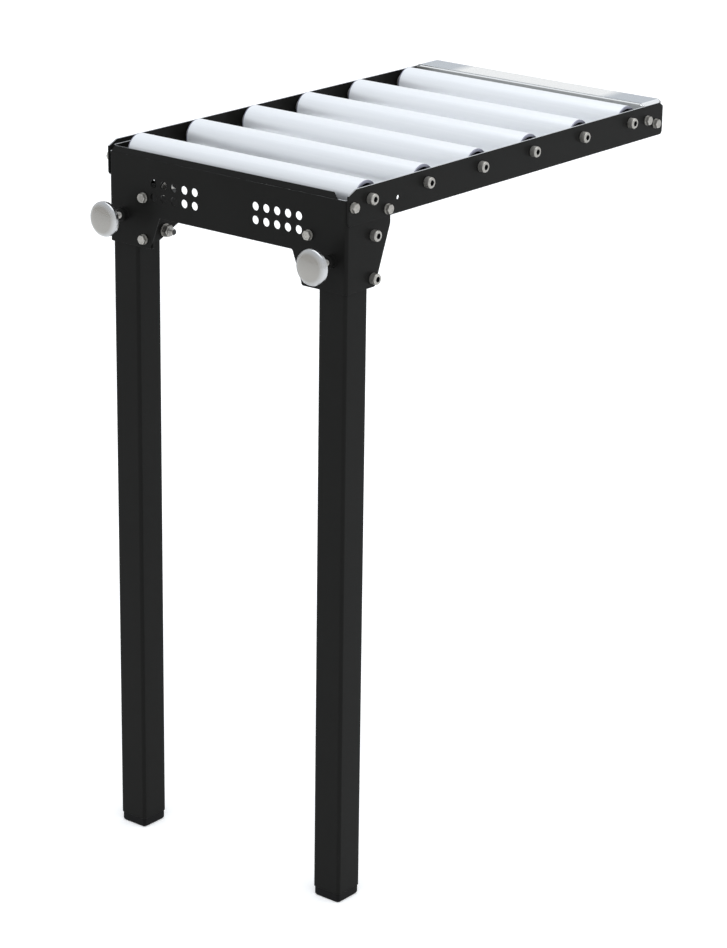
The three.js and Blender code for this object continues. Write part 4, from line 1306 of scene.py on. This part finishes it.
class OUTFEED_OT_stage(OutfeedOperator, bpy.types.Operator):
    """Pale floor, soft studio light and the camera"""

    bl_idname = "outfeed.stage"
    bl_label = "Studio"

    def execute(self, context):
        scene = context.scene
        scene.view_settings.view_transform = "Standard"
        self.floor(scene)
        self.surroundings(scene)
        self.softbox(scene)
        self.camera(scene)
        return {"FINISHED"}

    def floor(self, scene):
        mesh = bpy.data.meshes.new("studio_floor")
        reach, white_lift = 300.0, 0.34
        corners = [(-reach, -reach, 0), (reach, -reach, 0), (reach, reach, 0), (-reach, reach, 0)]
        mesh.from_pydata(corners, [], [(0, 1, 2, 3)])
        floor = bpy.data.objects.new("studio_floor", mesh)
        scene.collection.objects.link(floor)
        made = bpy.data.materials.new("Pale studio floor")
        tree = cleared(made)
        matt = node(tree, "BsdfDiffuse", {"Color": colour("floor"), "Roughness": 1.0})
        # What the camera, metal and clear things see of the floor is lifted to white, shadows included.
        path = node(tree, "LightPath").outputs
        seen = node(tree, "Math", {0: path["Is Camera Ray"], 1: path["Is Glossy Ray"]}, operation="MAXIMUM")
        seen = node(tree, "Math", {0: seen, 1: path["Is Transmission Ray"]}, operation="MAXIMUM")
        lift = node(tree, "Math", {0: seen, 1: white_lift}, operation="MULTIPLY")
        glow = node(tree, "Emission", {"Strength": lift})
        node(tree, "OutputMaterial", {"Surface": node(tree, "AddShader", {0: matt, 1: glow})})
        mesh.materials.append(made)

    def surroundings(self, scene):
        """A white room, a little dimmer behind the table and along the horizon."""
        world = bpy.data.worlds.new("Soft surroundings")
        tree = cleared(world)
        axes = node(tree, "SeparateXYZ", {"Vector": node(tree, "TexCoord").outputs["Generated"]}).outputs
        sky = node(tree, "ValToRGB", {"Fac": axes["Z"]})
        stops = sky.color_ramp.elements
        stops[0].position, stops[0].color = 0.0, linear("#dededd")
        stops[1].position, stops[1].color = 0.95, linear("#dfe5ec")
        for place, code in ((0.04, "#f7f7f6"), (0.5, "#f2f5f8")):
            stops.new(place).color = linear(code)
        front_to_back = {"From Min": -0.5, "From Max": 0.5, "To Min": 1.02, "To Max": 0.94}
        depth = node(tree, "MapRange", {"Value": axes["Y"], **front_to_back})
        light = node(tree, "Background", {"Color": sky, "Strength": depth})
        node(tree, "OutputWorld", {"Surface": light})
        scene.world = world

    def softbox(self, scene):
        """A wide lamp above the table, in metres and watts."""
        place, target = Vector((0.2, 0.6, 3.4)), Vector((0.0, 0.0, 0.6))
        lamp = bpy.data.lights.new("Overhead softbox", "AREA")
        lamp.shape = "SQUARE"
        lamp.size = 3.0
        lamp.energy = 42.0
        holder = bpy.data.objects.new("Overhead softbox", lamp)
        scene.collection.objects.link(holder)
        holder.location = place
        holder.rotation_euler = (target - place).to_track_quat("-Z", "Y").to_euler()

    def camera(self, scene):
        """A long lens in front, to the right and above; place in millimetres, angles in degrees."""
        place = Vector((2222.0, -2506.4, 1685.0))
        yaw, pitch, roll = (math.radians(a) for a in (38.774, 19.391, -0.819))
        flat = math.cos(pitch)
        forward = Vector((-math.sin(yaw) * flat, math.cos(yaw) * flat, -math.sin(pitch)))
        level = Vector((math.cos(yaw), math.sin(yaw), 0))
        down = forward.cross(level)
        right = level * math.cos(roll) + down * math.sin(roll)
        up = level * math.sin(roll) - down * math.cos(roll)
        lens = bpy.data.cameras.new("Camera")
        lens.lens = 114.77
        lens.sensor_width = 36.0
        lens.clip_end = 600.0
        camera = bpy.data.objects.new("Camera", lens)
        scene.collection.objects.link(camera)
        turn = Matrix((right, up, -forward)).transposed().to_4x4()
        camera.matrix_world = Matrix.Translation(place * MM + Vector((0, FRONT, 0))) @ turn
        scene.camera = camera


OPERATORS = (
    OUTFEED_OT_front_panel,
    OUTFEED_OT_side_rails,
    OUTFEED_OT_leg_brackets,
    OUTFEED_OT_legs,
    OUTFEED_OT_rollers,
    OUTFEED_OT_clamps,
    OUTFEED_OT_bridge_plate,
    OUTFEED_OT_end_crossmember,
    OUTFEED_OT_fasteners,
    OUTFEED_OT_stage,
)


class OUTFEED_PT_pieces(bpy.types.Panel):
    """Buttons for the table's pieces"""

    bl_idname = "OUTFEED_PT_pieces"
    bl_label = "Outfeed table"
    bl_space_type = "VIEW_3D"
    bl_region_type = "UI"
    bl_category = "Outfeed table"

    def draw(self, context):
        column = self.layout.column(align=True)
        for operator in OPERATORS:
            column.operator(operator.bl_idname)


CLASSES = (OutfeedSizes, OutfeedFinishes, *OPERATORS, OUTFEED_PT_pieces)


def register():
    for item in CLASSES:
        bpy.utils.register_class(item)
    bpy.types.Scene.outfeed_sizes = PointerProperty(type=OutfeedSizes)
    bpy.types.Scene.outfeed_finishes = PointerProperty(type=OutfeedFinishes)


def unregister():
    del bpy.types.Scene.outfeed_finishes
    del bpy.types.Scene.outfeed_sizes
    for item in reversed(CLASSES):
        bpy.utils.unregister_class(item)


def main():
    register()
    for operator in OPERATORS:
        group, name = operator.bl_idname.split(".")
        getattr(getattr(bpy.ops, group), name)()


if __name__ == "__main__":
    main()
